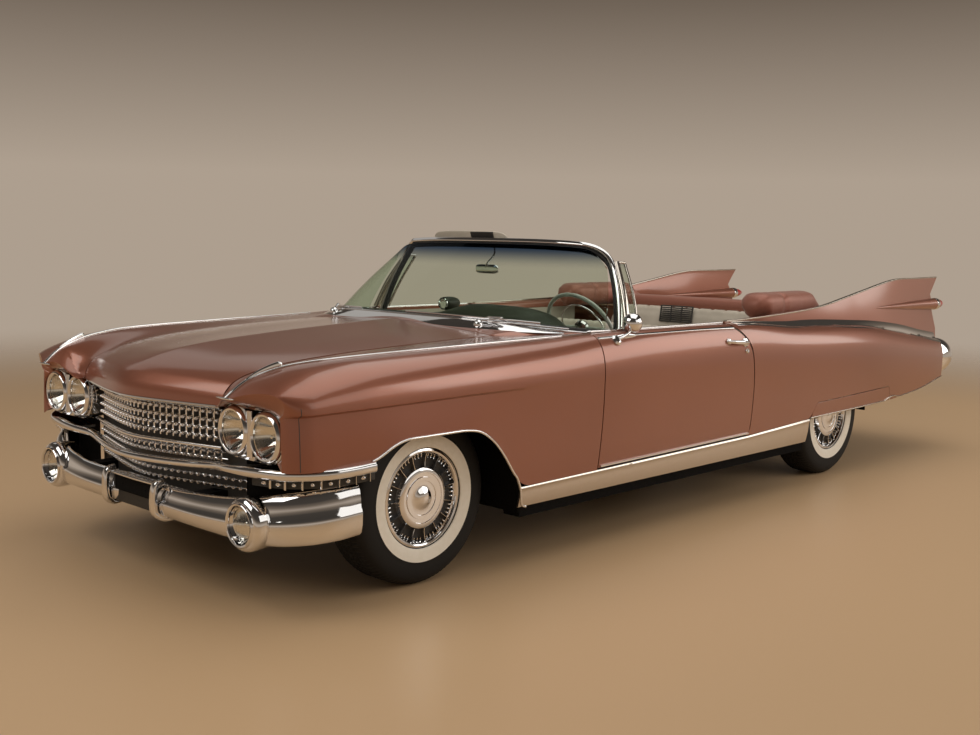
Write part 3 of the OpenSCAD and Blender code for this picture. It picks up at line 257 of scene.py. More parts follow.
def fin_outer(x, s):
    """Distance from the middle of the fin's outer side, s from the crest to its top."""
    return mix(crest_y(x), fin(TOP_Y, x) + FIN_EDGE / 2, s**0.8)


def fin_inner(x, s):
    """The same of its inner side, s from its top to its foot."""
    return mix(fin(TOP_Y, x) - FIN_EDGE / 2, fin(FOOT_Y, x), s**1.6)


def base_at(a, inset=0):
    """Base curve of the windshield, a from -90 at its right end to 90."""
    c, s = np.cos(np.radians(a)), np.sin(np.radians(a))
    return xyz(BASE_REAR + (BASE_DEPTH - inset) * np.maximum(c, 0) ** 0.77,
               (BASE_HALF_W - inset) * power(s, 0.59), 936 + 52 * c)


def top_at(a):
    """Top edge of the windshield."""
    c, s = np.cos(np.radians(a)), np.sin(np.radians(a))
    x = TOP_REAR + 92 * np.maximum(c, 0) ** 0.8
    return xyz(x, TOP_HALF_W * power(s, 0.65), WINDSHIELD_H - 30 + 30 * c)


def glass_at(a, s):
    """A point of the bowed glass, s from its base to its top."""
    a, s = np.asarray(a, float), np.asarray(s, float)
    bow = np.sin(np.pi * s)
    c, k = np.cos(np.radians(a)), np.sin(np.radians(a))
    base, top = base_at(a), top_at(a)
    return base + (top - base) * s[..., None] + xyz(30 * bow * c, 24 * bow * k, 0)


def cowl_rear(v):
    """Rear edge of the cowl, v from -1 at its right end to 1."""
    return base_at(COWL_SEAM * v) + xyz(14, 6 * np.asarray(v, float), -6)


COWL_END = cowl_rear(1.0)
# Seam between hood and fender: station and distance from the middle
SEAM = [(NOSE, NOSE_HALF_W), (FRONT_AXLE + 552, 540), (FRONT_AXLE + 252, 590), (FRONT_AXLE - 153, 625),
        (HOOD_REAR, 645), (HOOD_REAR - 160, 745), (HOOD_REAR - 318, 818),
        (COWL_END[0], COWL_END[1] + GAP + 10)]


def seam_y(x):
    return soft(SEAM, x, 30)


def seam_z(x):
    return along(HOOD, 2, np.minimum(0, x - prow(seam_y(x))))


# Mesh building
def grid_faces(r, c, wrap_r=False, wrap_c=False):
    """Four-sided faces of a grid of r rows and c columns."""
    i = np.arange(r if wrap_r else r - 1)[:, None]
    j = np.arange(c if wrap_c else c - 1)[None]
    up, right = (i + 1) % r, (j + 1) % c
    return np.stack([i * c + j, i * c + right, up * c + right, up * c + j], -1).reshape(-1, 4)


def unit(v):
    return v / np.maximum(np.linalg.norm(v, axis=-1, keepdims=True), 1e-9)


def normals(grid, inside):
    """Unit normals of a grid of points, pointing away from a point inside."""
    n = unit(np.cross(np.gradient(grid, axis=0), np.gradient(grid, axis=1)))
    return n if (n * (grid - np.asarray(inside, float))).sum() > 0 else -n


def oval(w, h, count=16, e=0.75):
    """Section of a bar: a rounded oblong of width w and height h."""
    a = np.linspace(0, 2 * np.pi, count, endpoint=False)
    return np.stack([w / 2 * power(np.cos(a), e), h / 2 * power(np.sin(a), e)], -1)


def smooth_path(points, count):
    """A smooth path through points, evenly spaced."""
    points = np.asarray(points, float)
    place = np.concatenate([[0], np.cumsum(np.linalg.norm(np.diff(points, axis=0), axis=1))])
    table = [(a, *p) for a, p in zip(place, points)]
    t = np.linspace(0, place[-1], count)
    return np.stack([along(table, k, t) for k in range(1, points.shape[1] + 1)], -1)


def whole(points):
    """A half path from the middle outwards, made whole by its mirror image."""
    points = np.asarray(points, float)
    other = points[:0:-1].copy()
    other[:, 1] *= -1
    return np.concatenate([other, points])


class Form:
    """Points and faces gathered before they become one mesh."""

    def __init__(self):
        self.points, self.faces, self.marks, self.count = [], [], [], 0

    def add(self, points, faces, mark=0):
        points = np.asarray(points, float).reshape(-1, 3)
        faces = [tuple(int(i) + self.count for i in f) for f in faces]
        self.points.append(points)
        self.faces += faces
        self.marks += [mark] * len(faces)
        self.count += len(points)
        return self

    def sheet(self, grid, wrap_r=False, wrap_c=False, mark=0):
        return self.add(grid, grid_faces(*grid.shape[:2], wrap_r, wrap_c), mark)

    def shell(self, outer, inner, mark=0):
        """A closed shell between two grids."""
        r, c = outer.shape[:2]
        n = r * c
        top = grid_faces(r, c)
        index = np.arange(n).reshape(r, c)
        rim = np.concatenate([index[0, :-1], index[:-1, -1], index[-1, :0:-1], index[:0:-1, 0]])
        side = [(a, b, b + n, a + n) for a, b in zip(rim, np.roll(rim, -1))]
        return self.add(np.concatenate([outer.reshape(-1, 3), inner.reshape(-1, 3)]),
                        np.concatenate([top, top[:, ::-1] + n, side]), mark)

    def panel(self, outer, inside, depth=SHEET, mark=0):
        """A sheet of even depth inwards from its outer face."""
        return self.shell(outer, outer - depth * normals(outer, inside), mark)

    def rings(self, rings, mark=0, closed=False):
        """A bar through rings of points, with flat ends."""
        r, c = rings.shape[:2]
        faces = [tuple(f) for f in grid_faces(r, c, closed, True)]
        if not closed:
            faces += [tuple(range(c)), tuple(range((r - 1) * c, r * c))]
        return self.add(rings, faces, mark)

    def bar(self, path, section, up=(0, 0, 1), scale=None, mark=0, closed=False):
        """A section of (across, up) points swept along a path."""
        path = np.asarray(path, float)
        t = unit(np.gradient(path, axis=0))
        if closed:
            t = unit(np.roll(path, -1, 0) - np.roll(path, 1, 0))
        side = unit(np.cross(t, np.broadcast_to(np.asarray(up, float), t.shape)))
        lift = np.cross(side, t)
        size = np.ones((len(path), 2))
        if scale is not None:
            size = size * np.asarray(scale, float).reshape(len(path), -1)
        rings = (path[:, None] + side[:, None] * (section[None, :, :1] * size[:, None, :1])
                 + lift[:, None] * (section[None, :, 1:] * size[:, None, 1:]))
        return self.rings(rings, mark, closed)

    def turn(self, profile, centre, axis=(1, 0, 0), count=48, mark=0, closed=False, marks=None):
        """A profile of (radius, height along the axis) turned round an axis."""
        w = unit(np.asarray(axis, float))
        u = unit(np.cross(w, (0.31, 0.17, 0.94)))
        v = np.cross(w, u)
        a = np.linspace(0, 2 * np.pi, count, endpoint=False)
        spoke = np.cos(a)[:, None] * u + np.sin(a)[:, None] * v
        profile = np.asarray(profile, float)
        grid = np.asarray(centre, float) + profile[:, None, :1] * spoke[None] + profile[:, None, 1:] * w
        faces = grid_faces(len(profile), count, closed, True)
        if marks is None:
            return self.add(grid, faces, mark)
        start = self.count
        self.add(grid, [])
        for i, m in enumerate(np.repeat(marks, count)):
            self.faces.append(tuple(int(k) + start for k in faces[i]))
            self.marks.append(int(m))
        return self

    def mirror(self):
        """Add the same on the other side of the car."""
        points = np.concatenate(self.points) * (1, -1, 1)
        faces = [tuple(reversed(f)) for f in self.faces]
        marks = list(self.marks)
        self.add(points, faces)
        self.marks[-len(marks):] = marks
        return self

    def flipped(self):
        """The same on the other side only."""
        other = Form()
        other.add(np.concatenate(self.points) * (1, -1, 1), [tuple(reversed(f)) for f in self.faces])
        other.marks = list(self.marks)
        return other

    def piece(self, name, body, slot, *finishes, replaces=(), sharp=35, bevel=0, weld=0.002):
        """Make the mesh with its finishes and tie it to its body and CAD nodes; the slot is not used."""
        mesh = bpy.data.meshes.new(name)
        mesh.from_pydata((np.concatenate(self.points) * MM).tolist(), [], self.faces)
        mesh.polygons.foreach_set("material_index", self.marks)
        work = bmesh.new()
        work.from_mesh(mesh)
        bmesh.ops.remove_doubles(work, verts=work.verts, dist=weld * MM)
        bmesh.ops.recalc_face_normals(work, faces=work.faces)
        work.to_mesh(mesh)
        work.free()
        mesh.shade_smooth()
        mesh.set_sharp_from_angle(angle=math.radians(sharp))
        for finish in finishes:
            mesh.materials.append(finish)
        piece = bpy.data.objects.new(name, mesh)
        bpy.context.scene.collection.objects.link(piece)
        if bevel:
            edge = piece.modifiers.new("edges", "BEVEL")
            edge.width = bevel * MM
            edge.segments = 2
            edge.limit_method = "ANGLE"
            edge.angle_limit = math.radians(50)
        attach(piece, body)
        if replaces:
            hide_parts(*replaces)
        return piece

    def pair(self, name, body, slot, *finishes, replaces=None, **look):
        """The left piece and its mirror image; {} in a name stands for the side."""
        for side, form in (("left", self), ("right", self.flipped())):
            nodes = [replaces.format(side)] if replaces else ()
            form.piece(name.format(side), body.format(side), slot, *finishes, replaces=nodes, **look)


def panel_rows(part, start, end, count):
    """Rows of a panel: the part of its section and the place in that part."""
    return [(part, s) for s in np.linspace(start, end, count)]


# Shader values
class Tone:
    """A socket of a material's nodes; arithmetic on it adds Math nodes."""

    def __init__(self, tree, socket=None):
        self.tree, self.socket = tree, socket

    def node(self, kind, settings=None, sockets=None, out=0):
        node = self.tree.nodes.new("ShaderNode" + kind)
        for key, value in (settings or {}).items():
            if key == "stops":
                for i, (place, color) in enumerate(value):
                    stop = node.color_ramp.elements[i] if i < 2 else node.color_ramp.elements.new(place)
                    stop.position = place
                    stop.color = (*color, 1)
            else:
                setattr(node, key, value)
        for key, value in (sockets or {}).items():
            self.join(node.inputs[key], value)
        return Tone(self.tree, node.outputs[out])

    def join(self, socket, value):
        if isinstance(value, Tone):
            self.tree.links.new(value.socket, socket)
        else:
            socket.default_value = value

    def math(self, operation, a, b=0.0):
        return self.node("Math", {"operation": operation}, {0: a, 1: b})

    def __add__(self, other):
        return self.math("ADD", self, other)

    def __sub__(self, other):
        return self.math("SUBTRACT", self, other)

    def __mul__(self, other):
        return self.math("MULTIPLY", self, other)

    def __truediv__(self, other):
        return self.math("DIVIDE", self, other)

    def __radd__(self, other):
        return self.math("ADD", other, self)

    def __rsub__(self, other):
        return self.math("SUBTRACT", other, self)

    def __rmul__(self, other):
        return self.math("MULTIPLY", other, self)

    def between(self, low, high):
        """0 below low, 1 above high, smooth between."""
        return self.node("MapRange", {"interpolation_type": "SMOOTHSTEP"}, {0: self, 1: low, 2: high})

    def noise(self, scale, detail=2.0):
        return self.node("TexNoise", {}, {"Vector": self, "Scale": scale, "Detail": detail})

    def cells(self, scale, feature="F1"):
        return self.node("TexVoronoi", {"feature": feature}, {"Vector": self, "Scale": scale})

    def part(self, axis):
        return self.node("SeparateXYZ", {}, {0: self}, axis)

    def blend(self, a, b):
        """Colour a where this is 0, b where it is 1."""
        color = [(*c, 1) if isinstance(c, tuple) else c for c in (a, b)]
        return self.node("Mix", {"data_type": "RGBA"}, {0: self, 6: color[0], 7: color[1]}, 2)

    def bump(self, strength, depth):
        """A normal from this height, its depth in metres."""
        return self.node("Bump", {}, {"Height": self, "Strength": strength, "Distance": depth})


def surface(name, **fixed):
    """A new material with its constant values; returns it, its shader and the place on the piece."""
    material = bpy.data.materials.new(name)
    material.use_nodes = True
    shader = material.node_tree.nodes["Principled BSDF"]
    for key, value in fixed.items():
        socket = shader.inputs[key.replace("_", " ")]
        socket.default_value = (*value, 1) if isinstance(value, tuple) else value
    place = Tone(material.node_tree).node("TexCoord", out="Object")
    return material, shader, place


# Finishes
ROSE = (0.258, 0.086, 0.048)
ROSE_LIGHT = (0.33, 0.12, 0.072)
CREAM = (0.54, 0.50, 0.43)
CREAM_DEEP = (0.43, 0.395, 0.335)


def body_paint():
    material, shader, at = surface("body_paint", Metallic=0.55, Coat_Weight=1.0, Coat_Roughness=0.12)
    flake = at.cells(2600.0)
    cloud = at.noise(1.3)
    depth = (flake * 0.55 + cloud * 0.5).between(0.2, 0.75)
    at.join(shader.inputs["Base Color"], depth.blend(ROSE, ROSE_LIGHT))
    at.join(shader.inputs["Roughness"], 0.32 + 0.08 * flake)
    at.join(shader.inputs["Normal"], at.noise(420.0, 1.0).bump(0.04, 0.0004))
    return material


def polished(name, color, low, high, scale):
    material, shader, at = surface(name, Metallic=1.0)
    smear = at.noise(scale, 3.0)
    at.join(shader.inputs["Base Color"], smear.blend(color, tuple(0.93 * c for c in color)))
    at.join(shader.inputs["Roughness"], low + (high - low) * smear.between(0.35, 0.75))
    return material


def grained(name, color, other, scale, rough, depth, strength=0.35, metal=0.0, detail=3.0, **fixed):
    """A plain surface with an even grain of its own scale."""
    material, shader, at = surface(name, Metallic=metal, **fixed)
    grain = at.noise(scale, detail)
    at.join(shader.inputs["Base Color"], grain.between(0.3, 0.7).blend(color, other))
    at.join(shader.inputs["Roughness"], rough - 0.08 + 0.16 * grain)
    at.join(shader.inputs["Normal"], grain.bump(strength, depth))
    return material


def leather(name, color, other):
    material, shader, at = surface(name, Specular_IOR_Level=0.45)
    pebble = at.cells(420.0)
    wear = at.noise(6.0, 4.0)
    at.join(shader.inputs["Base Color"], (wear * 0.8 + pebble * 0.2).between(0.3, 0.75).blend(color, other))
    at.join(shader.inputs["Roughness"], 0.38 + 0.18 * pebble)
    at.join(shader.inputs["Normal"], pebble.bump(0.3, 0.0006))
    return material


def tinted_glass():
    material, shader, at = surface("tinted_glass", Roughness=0.0, Transmission_Weight=1.0, IOR=1.04,
                                   Specular_IOR_Level=0.2)
    band = at.part(2).between(1.225, 1.325)
    at.join(shader.inputs["Base Color"], band.blend((0.72, 0.81, 0.72), (0.05, 0.10, 0.20)))
    at.join(shader.inputs["Normal"], at.noise(3.0, 1.0).bump(0.02, 0.002))
    return material


def ribbed_lens():
    material, shader, at = surface("ribbed_lens", Roughness=0.0, Transmission_Weight=1.0, IOR=1.1)
    rib = at.node("TexWave", {"bands_direction": "Y"}, {"Vector": at, "Scale": 34.0, "Distortion": 0.0})
    at.join(shader.inputs["Base Color"], rib.blend((0.93, 0.93, 0.88), (0.98, 0.97, 0.93)))
    at.join(shader.inputs["Normal"], rib.bump(0.2, 0.0015))
    return material


def red_lens():
    material, shader, at = surface("red_lens", Coat_Weight=0.7, Coat_Roughness=0.02)
    rib = at.node("TexWave", {"bands_direction": "X"}, {"Vector": at, "Scale": 40.0, "Distortion": 0.0})
    at.join(shader.inputs["Base Color"], rib.blend((0.36, 0.012, 0.01), (0.5, 0.025, 0.02)))
    at.join(shader.inputs["Roughness"], 0.12 + 0.1 * rib)
    at.join(shader.inputs["Normal"], rib.bump(0.2, 0.001))
    return material


def rubber():
    material, shader, at = surface("tyre_rubber", Specular_IOR_Level=0.35)
    grain = at.noise(160.0, 4.0)
    at.join(shader.inputs["Base Color"], grain.blend((0.006, 0.006, 0.006), (0.014, 0.013, 0.013)))
    at.join(shader.inputs["Roughness"], 0.55 + 0.25 * grain)
    at.join(shader.inputs["Normal"], grain.bump(0.25, 0.0006))
    return material


PAINT = body_paint()
CHROME = polished("chrome", (0.86, 0.86, 0.87), 0.035, 0.09, 9.0)
STEEL = polished("stainless", (0.66, 0.61, 0.55), 0.10, 0.2, 60.0)
# Underseal black, darker and duller than the satin black: the underside's own colour, deepened as painted
# shade under the car and on the sheet behind the front ends.
SHADE = grained("underseal_and_painted_shade", (0.005, 0.005, 0.005), (0.010, 0.009, 0.009), 120.0, 0.92, 0.001,
                Specular_IOR_Level=0.08)
BLACK = grained("satin_black", (0.012, 0.012, 0.013), (0.024, 0.023, 0.022), 90.0, 0.5, 0.0005)
RUBBER = rubber()
WHITE = grained("white_band", (0.84, 0.80, 0.71), (0.88, 0.84, 0.76), 40.0, 0.5, 0.0003)
GLASS = tinted_glass()
LENS = ribbed_lens()
RED = red_lens()
HIDE = leather("seat_hide", CREAM, CREAM_DEEP)
COVER = grained("top_cover_cloth", ROSE, (0.35, 0.14, 0.105), 900.0, 0.42, 0.0006, metal=0.25,
                Sheen_Weight=0.15)
PAD = grained("dash_pad", (0.045, 0.044, 0.030), (0.060, 0.058, 0.042), 500.0, 0.5, 0.0006)
DASH = grained("dash_enamel", CREAM, (0.58, 0.53, 0.45), 14.0, 0.28, 0.0002, Coat_Weight=0.5)
MESH = grained("dark_mesh", (0.03, 0.028, 0.026), (0.05, 0.048, 0.045), 300.0, 0.6, 0.0008)
CARPET = grained("carpet", (0.20, 0.105, 0.085), (0.30, 0.165, 0.135), 700.0, 0.9, 0.004, strength=0.8)
RIM = grained("wheel_plastic", (0.42, 0.46, 0.42), (0.48, 0.52, 0.47), 25.0, 0.25, 0.0002, Coat_Weight=0.6)
PIPE = grained("exhaust_steel", (0.20, 0.18, 0.16), (0.34, 0.31, 0.28), 12.0, 0.45, 0.0004, metal=0.8)
IRON = grained("engine_iron", (0.045, 0.055, 0.075), (0.065, 0.075, 0.095), 60.0, 0.5, 0.0008)
CAST = grained("cast_steel", (0.022, 0.021, 0.020), (0.045, 0.042, 0.040), 70.0, 0.6, 0.001, metal=0.3)


# Front fenders
FENDER_ROWS = panel_rows(0, 0, 1, 14) + panel_rows(1, 0, 1, 22) + panel_rows(2, 0.1, 1, 10)


def lip_x(part, s):
    """How far a row reaches ahead of the lamps: side, shoulder and top."""
    return (0, BROW * s**2, mix(BROW, 20, s**0.7))[part]


def cheek(x0):
    """How far the side turns inwards where it meets the outer lamp."""
    t = ramp((x0 - FENDER_LIP + CHEEK_L) / CHEEK_L)
    return CHEEK * (1 - np.sqrt(1 - 0.985 * t * t))


def fender_line(part, s, x0):
    """One row of the fender: below its crease (0), above it (1) or over the crest to the hood (2)."""
    low = soft(FENDER_LOW, x0)
    z = mix(wide_z(x0), crest_z(x0), math.sin(math.pi / 2 * s))
    if part == 0:
        z = mix(low, wide_z(x0) - CREASE_DROP, s)
    x = x0 + lip_x(part, s) * ramp((x0 - ARCH_FRONT) / (FENDER_LIP - ARCH_FRONT))
    x = x + (door_front_at(z) - DOOR_FRONT) * ramp((FENDER_END + 160 - x0) / 160)
    if part == 0:
        step = CREASE * ramp((x - FRONT_AXLE + 740) / 900)
        return below(x, mix(low, wide_z(x) - CREASE_DROP, s)) - xyz(0, step * s + cheek(x0), 0)
    if part == 1:
        return above(x, s) - xyz(0, cheek(x0) * ramp(1 - s / 0.6) ** 1.5, 0)
    return xyz(x, mix(crest_y(x), seam_y(x) + GAP / 2, s),
               mix(seam_z(x), crest_z(x), 0.5 + 0.5 * math.cos(math.pi * s)))


def lamp_edge(p):
    """Edge of the lamps' field in the direction of each point."""
    a = np.arctan2((p[..., 2] - LAMP_H) / LAMP_FIELD_Z, (p[..., 1] - LAMP_Y) / LAMP_FIELD_Y)
    y = LAMP_Y + LAMP_FIELD_Y * power(np.cos(a), 0.75)
    return xyz(LAMP_FACE, y, LAMP_H + LAMP_FIELD_Z * power(np.sin(a), 0.75))


def fender():
    """Skin whose front folds back to the edge of the lamps."""
    nose = FENDER_LIP - 300 * np.linspace(0, 1, 40) ** 1.7
    x = np.concatenate([nose, np.linspace(FENDER_LIP - 312, FENDER_END, 120)])
    grid = np.array([fender_line(part, s, x) for part, s in FENDER_ROWS])
    lip, ring = grid[:, 0], lamp_edge(grid[:, 0])
    bend = np.array([0.45, 0.8, 1.25])
    fold = np.stack([mix(ring, lip, t**bend) for t in np.linspace(0, 0.92, 10)], 1)
    return Form().panel(np.concatenate([fold, grid], 1), (FRONT_AXLE, 600, 600))


fender().pair("fender_skin_{}", "root", "body_paint", PAINT, replaces="fender_{}", sharp=28)


# Hood
PEAK = 9


def hood_point(v, s):
    """A point of the hood, v across from -1 to 1 and s from the lip to its rear edge."""
    y0 = v * (NOSE_HALF_W - GAP / 2)
    x = mix(prow(y0) - 4, HOOD_REAR, s)
    d = x - prow(y0) + 4
    peak = PEAK * ramp(1 - np.abs(v) / 0.5) ** 2 * ramp(-d / 240)
    return xyz(x, v * (seam_y(x) - GAP / 2),
               mix(along(HOOD, 2, d), along(HOOD, 1, d), 1 - np.abs(v) ** 2.5) + peak)


def hood():
    v = np.linspace(-1, 1, 73)[:, None]
    s = np.linspace(0, 1, 80)[None] ** 2.4
    return Form().panel(hood_point(v, s), (FRONT_AXLE, 0, 400), 8)


hood().piece("hood_skin", "hood", "body_paint", PAINT, replaces=["hood"], sharp=30)


def hood_frame():
    """Stiffening ribs pressed into the inner panel of the hood."""
    form = Form()
    for v in (-0.78, -0.3, 0.3, 0.78):
        s = np.linspace(0.12, 0.84, 30)
        form.bar(hood_point(np.full(30, v), s) - (0, 0, 17), oval(70, 16, 14, 0.6))
    for s in (0.14, 0.5, 0.84):
        v = np.linspace(-0.86, 0.86, 40)
        form.bar(hood_point(v, np.full(40, s)) - (0, 0, 18), oval(60, 14, 14, 0.6))
    return form


hood_frame().piece("hood_frame", "hood", "body_paint", PAINT, sharp=60)


# Cowl
def cowl_front(v):
    """Front edge of the cowl: behind the hood, then along the fenders."""
    k = ramp((np.abs(v) - 0.6) / 0.4)
    x = mix(HOOD_REAR - GAP, COWL_END[0], k)
    y = np.where(k > 0, seam_y(x) - GAP / 2, np.abs(v) / 0.6 * (seam_y(np.array(HOOD_REAR)) - GAP / 2))
    edge = hood_point(np.clip(v / 0.6, -1, 1), 1.0)[..., 2]
    return xyz(x, np.sign(v) * y, np.where(k > 0, mix(edge, COWL_END[2] + 2, k), edge))


def cowl():
    v = np.linspace(-1, 1, 101)
    front, rear = cowl_front(v), cowl_rear(v)
    drop = [front - xyz(0, 0, 12), front - xyz(0, 0, 4)]
    top = [mix(front, rear, s) + xyz(0, 0, 6 * math.sin(math.pi * s)) for s in np.linspace(0, 1, 9)]
    return Form().panel(np.stack(drop + top, 1), (HOOD_REAR - 200, 0, 700))


cowl().piece("cowl_skin", "root", "body_paint", PAINT, replaces=["cowl"], sharp=40)

# Quarter panels
QUARTER_ROWS = (panel_rows(0, 0, 0.94, 13) + panel_rows(1, 0, 0.96, 14) + panel_rows(2, 0, 1, 42)
                + panel_rows(3, 0, 1, 42) + [(4, 0.5), (4, 1)])
# Height and how far the tail's edge lies ahead of its station
TRAIL = [(735, -20), (812, -40), (925, -4), (1016, -4), (1040, 8), (1150, -118)]


def quarter_at(part, s, x, low):
    """A point of the section: side, shoulder, fin's outer side, its inner side and deck."""
    if part == 0:
        return below(x, mix(low, wide_z(x), s))
    if part == 1:
        return above(x, s)
    if part == 2:
        return xyz(x, fin_outer(x, s), mix(crest_z(x), fin(TOP_Z, x), s))
    if part == 3:
        return xyz(x, fin_inner(x, s), mix(fin(TOP_Z, x), fin(FOOT_Z, x), s))
    return xyz(x, mix(fin(FOOT_Y, x), fin(DECK_Y, x), s), mix(fin(FOOT_Z, x), fin(DECK_Z, x), s))


def quarter_line(part, s, x0):
    """One row of the quarter, led to the door's edge in front and to the tail's edge behind."""
    low = np.where(x0 < REAR_AXLE - 700, soft(QUARTER_LOW, x0, 110), soft(QUARTER_LOW, x0, 14))
    p = quarter_at(part, s, x0, low)
    z = p[..., 2]
    tail = ramp((REAR_AXLE - 1036 - x0) / 404)
    lead = door_rear_at(np.minimum(z, BELT_H) - 4) - DOOR_REAR + 8
    x = x0 + (line(TRAIL, z) if part > 1 else 20) * tail + lead * ramp((x0 - QUARTER_FRONT + 200) / 200)
    return quarter_at(part, s, x, low)


def quarter():
    x = np.linspace(QUARTER_FRONT, TAIL_EDGE, 150)
    rows = [quarter_line(part, s, x) for part, s in QUARTER_ROWS]
    return Form().panel(np.array(rows), (REAR_AXLE, 500, 600))


def fairings():
    """Cones on both sides of each fin that end in the lamps."""
    form = Form()
    t = np.linspace(0, 1, 48)
    x = mix(REAR_AXLE - 560, REAR_AXLE - 1446, t)
    outer = fin_outer(x, ramp((NACELLE_Z - crest_z(x)) / (fin(TOP_Z, x) - crest_z(x))))
    inner = fin_inner(x, ramp((fin(TOP_Z, x) - NACELLE_Z) / (fin(TOP_Z, x) - fin(FOOT_Z, x))))
    for lamp_y, side in zip(LAMP_PAIR, (inner, outer)):
        y = mix(side, lamp_y, t**2)
        form.bar(xyz(x, y, NACELLE_Z + 0 * x), oval(2, 2, 28, 1.0), scale=0.5 + NACELLE_R * t**0.72)
    return form.mirror()


def tail_closings():
    """Painted rear face of each quarter between its outer skin and the trunk opening."""
    x0 = np.array([TAIL_EDGE])

    def edge(*parts):
        return np.array([quarter_line(part, s, x0)[0] for part, s in QUARTER_ROWS if part in parts])

    outer, inner = edge(0, 1, 2), edge(3, 4)[::-1]
    inner = np.concatenate([[inner[0] * (1, 1, 0) + (0, 0, 440)], inner])
    z = np.linspace(452, outer[-1, 2] - 1, 60)
    outer, inner = (np.stack([np.interp(z, skin[:, 2], skin[:, k]) for k in range(3)], -1)
                    for skin in (outer, inner))
    face = np.stack([mix(outer, inner, t) for t in np.linspace(0, 1, 7)], 1) + (3, 0, 0)
    return Form().shell(face, face + (4, 0, 0)).mirror()


tail_closings().piece("tail_closings", "root", "body_paint", PAINT)
fairings().piece("lamp_fairings", "root", "body_paint", PAINT)
quarter().pair("quarter_skin_{}", "root", "body_paint", PAINT, replaces="quarter_{}", sharp=38)

# Trunk lid: place, station, height at its sides, rise of its middle
LID = [(0, LID_FRONT, 943, 15), (1, REAR_AXLE - 560, 933, 18), (2, REAR_AXLE - 760, 918, 22),
       (3, REAR_AXLE - 960, 899, 25), (4, REAR_AXLE - 1160, 874, 26), (5, REAR_AXLE - 1330, 850, 26),
       (6, REAR_AXLE - 1440, 832, 25), (7, REAR_AXLE - 1490, 812, 22), (8, REAR_AXLE - 1512, 776, 14),
       (9, REAR_AXLE - 1518, 720, 6), (10, REAR_AXLE - 1516, 660, 2)]


def trunk_lid():
    v = np.linspace(-1, 1, 41)[:, None]
    i = np.linspace(0, 10, 90)[None]
    x = along(LID, 1, i)
    z = along(LID, 2, i) + along(LID, 3, i) * (1 - v * v)
    return Form().panel(xyz(x, v * (fin(DECK_Y, x) - GAP), z), (REAR_AXLE - 900, 0, 600), 8)


trunk_lid().piece("trunk_skin", "trunk_lid", "body_paint", PAINT, replaces=["trunk_lid"], sharp=40)

# Doors
DOOR_INNER = HALF_W - 138
DOOR_ROWS = panel_rows(0, 0, 0.95, 16) + panel_rows(1, 0, 1, 18)


def door_inner_y(z):
    """Inner face of the door, leaning inwards above its widest line."""
    return DOOR_INNER - 14 * ramp((z - WIDE_H) / 190)


def door_line(part, s, u):
    low = sill_top(mix(DOOR_FRONT, DOOR_REAR, u)) + GAP
    z = mix(low, WIDE_H, s) if part == 0 else mix(WIDE_H, BELT_H, math.sin(math.pi / 2 * s) ** 0.95)
    x = mix(door_front_at(z), door_rear_at(z), u)
    return below(x, mix(low, wide_z(x), s)) if part == 0 else above(x, s)


def door():
    u = np.linspace(0, 1, 70)
    outer = np.array([door_line(part, s, u) for part, s in DOOR_ROWS])
    z = outer[..., 2]
    inner = xyz(mix(door_front_at(z) - 5, door_rear_at(z) + 16, u[None]), door_inner_y(z), z)
    return Form().shell(outer, inner)


door().pair("door_skin_{}", "door_{}", "body_paint", PAINT, replaces="door_{}", sharp=40, bevel=3)


# Bright sills and the skirts over the rear wheels
def sills():
    x = np.linspace(FRONT_AXLE - 436, REAR_AXLE + 478, 60)
    s = np.linspace(0, 1, 13)[:, None]
    z = mix(SILL_LOW, sill_top(x)[None] - 1, s)
    roll = 3 * np.sin(np.pi * s) + 5 * np.exp(-((s - 0.9) / 0.06) ** 2)
    outer = below(x[None], z) + xyz(0, roll, 0)
    return Form().shell(outer, outer - (0, 12, 0)).mirror()


def skirt_low(x):
    return mix(398, 410, (REAR_AXLE + 452 - x) / 1000)


def skirts():
    x = np.linspace(REAR_AXLE + 452, REAR_AXLE - 545, 90)
    s = np.linspace(0, 1, 9)[:, None]
    low = skirt_low(x)
    z = mix(low[None], np.maximum(soft(QUARTER_LOW, x, 14) - 4, low + 2)[None], s)
    outer = below(x[None], z)
    return Form().shell(outer, outer - (0, 10, 0)).mirror()


sills().piece("sill_panels", "root", "stainless", STEEL, replaces=["sill_trims"], bevel=1.5)
skirts().piece("skirts", "root", "body_paint", PAINT, replaces=["fender_skirts"], bevel=1.5)


# Windshield
def windshield():
    a = np.linspace(-84, 84, 91)[:, None]
    s = np.linspace(0.009, 0.97, 26)[None]
    s = s * (1 - 0.2 * ramp((np.abs(a) - 52) / 32) ** 2)
    a = a + 0 * s
    mid = glass_at(a, s)
    out = normals(mid, (BASE_REAR, 0, 1100))
    return Form().shell(mid + 3 * out, mid - 3 * out)


def pillar(side, s):
    return glass_at(90.0 * side, s) + (-16.2, 0, 2)


def surround(inset, low=-0.01):
    """Path up one pillar, along the header with round corners and down the other pillar."""
    near = pillar(1, np.linspace(low, 0.76, 9)) - (0, 0.8 * inset, 0)
    header = top_at(np.linspace(52, 0, 9)) + xyz(-4, 0, 6 - inset)
    corner = np.array([TOP_REAR - 6, TOP_HALF_W + 9 - 0.9 * inset, WINDSHIELD_H - 22 - inset])
    t = np.linspace(0, 1, 14)[1:-1, None]
    bend = (1 - t) ** 2 * near[-1] + 2 * t * (1 - t) * corner + t * t * header[0]
    path = smooth_path(np.concatenate([near, bend, header]), 110)
    return np.concatenate([path, path[-2::-1] * (1, -1, 1)])


def windshield_frame():
    form = Form().bar(surround(0), oval(27, 28, 20, 0.7), (1, 0, 1))
    a = np.linspace(-COWL_SEAM, COWL_SEAM, 60)
    form.bar(base_at(a) + xyz(8.2, 3 * np.sin(np.radians(a)), 0), oval(13, 12))
    return form


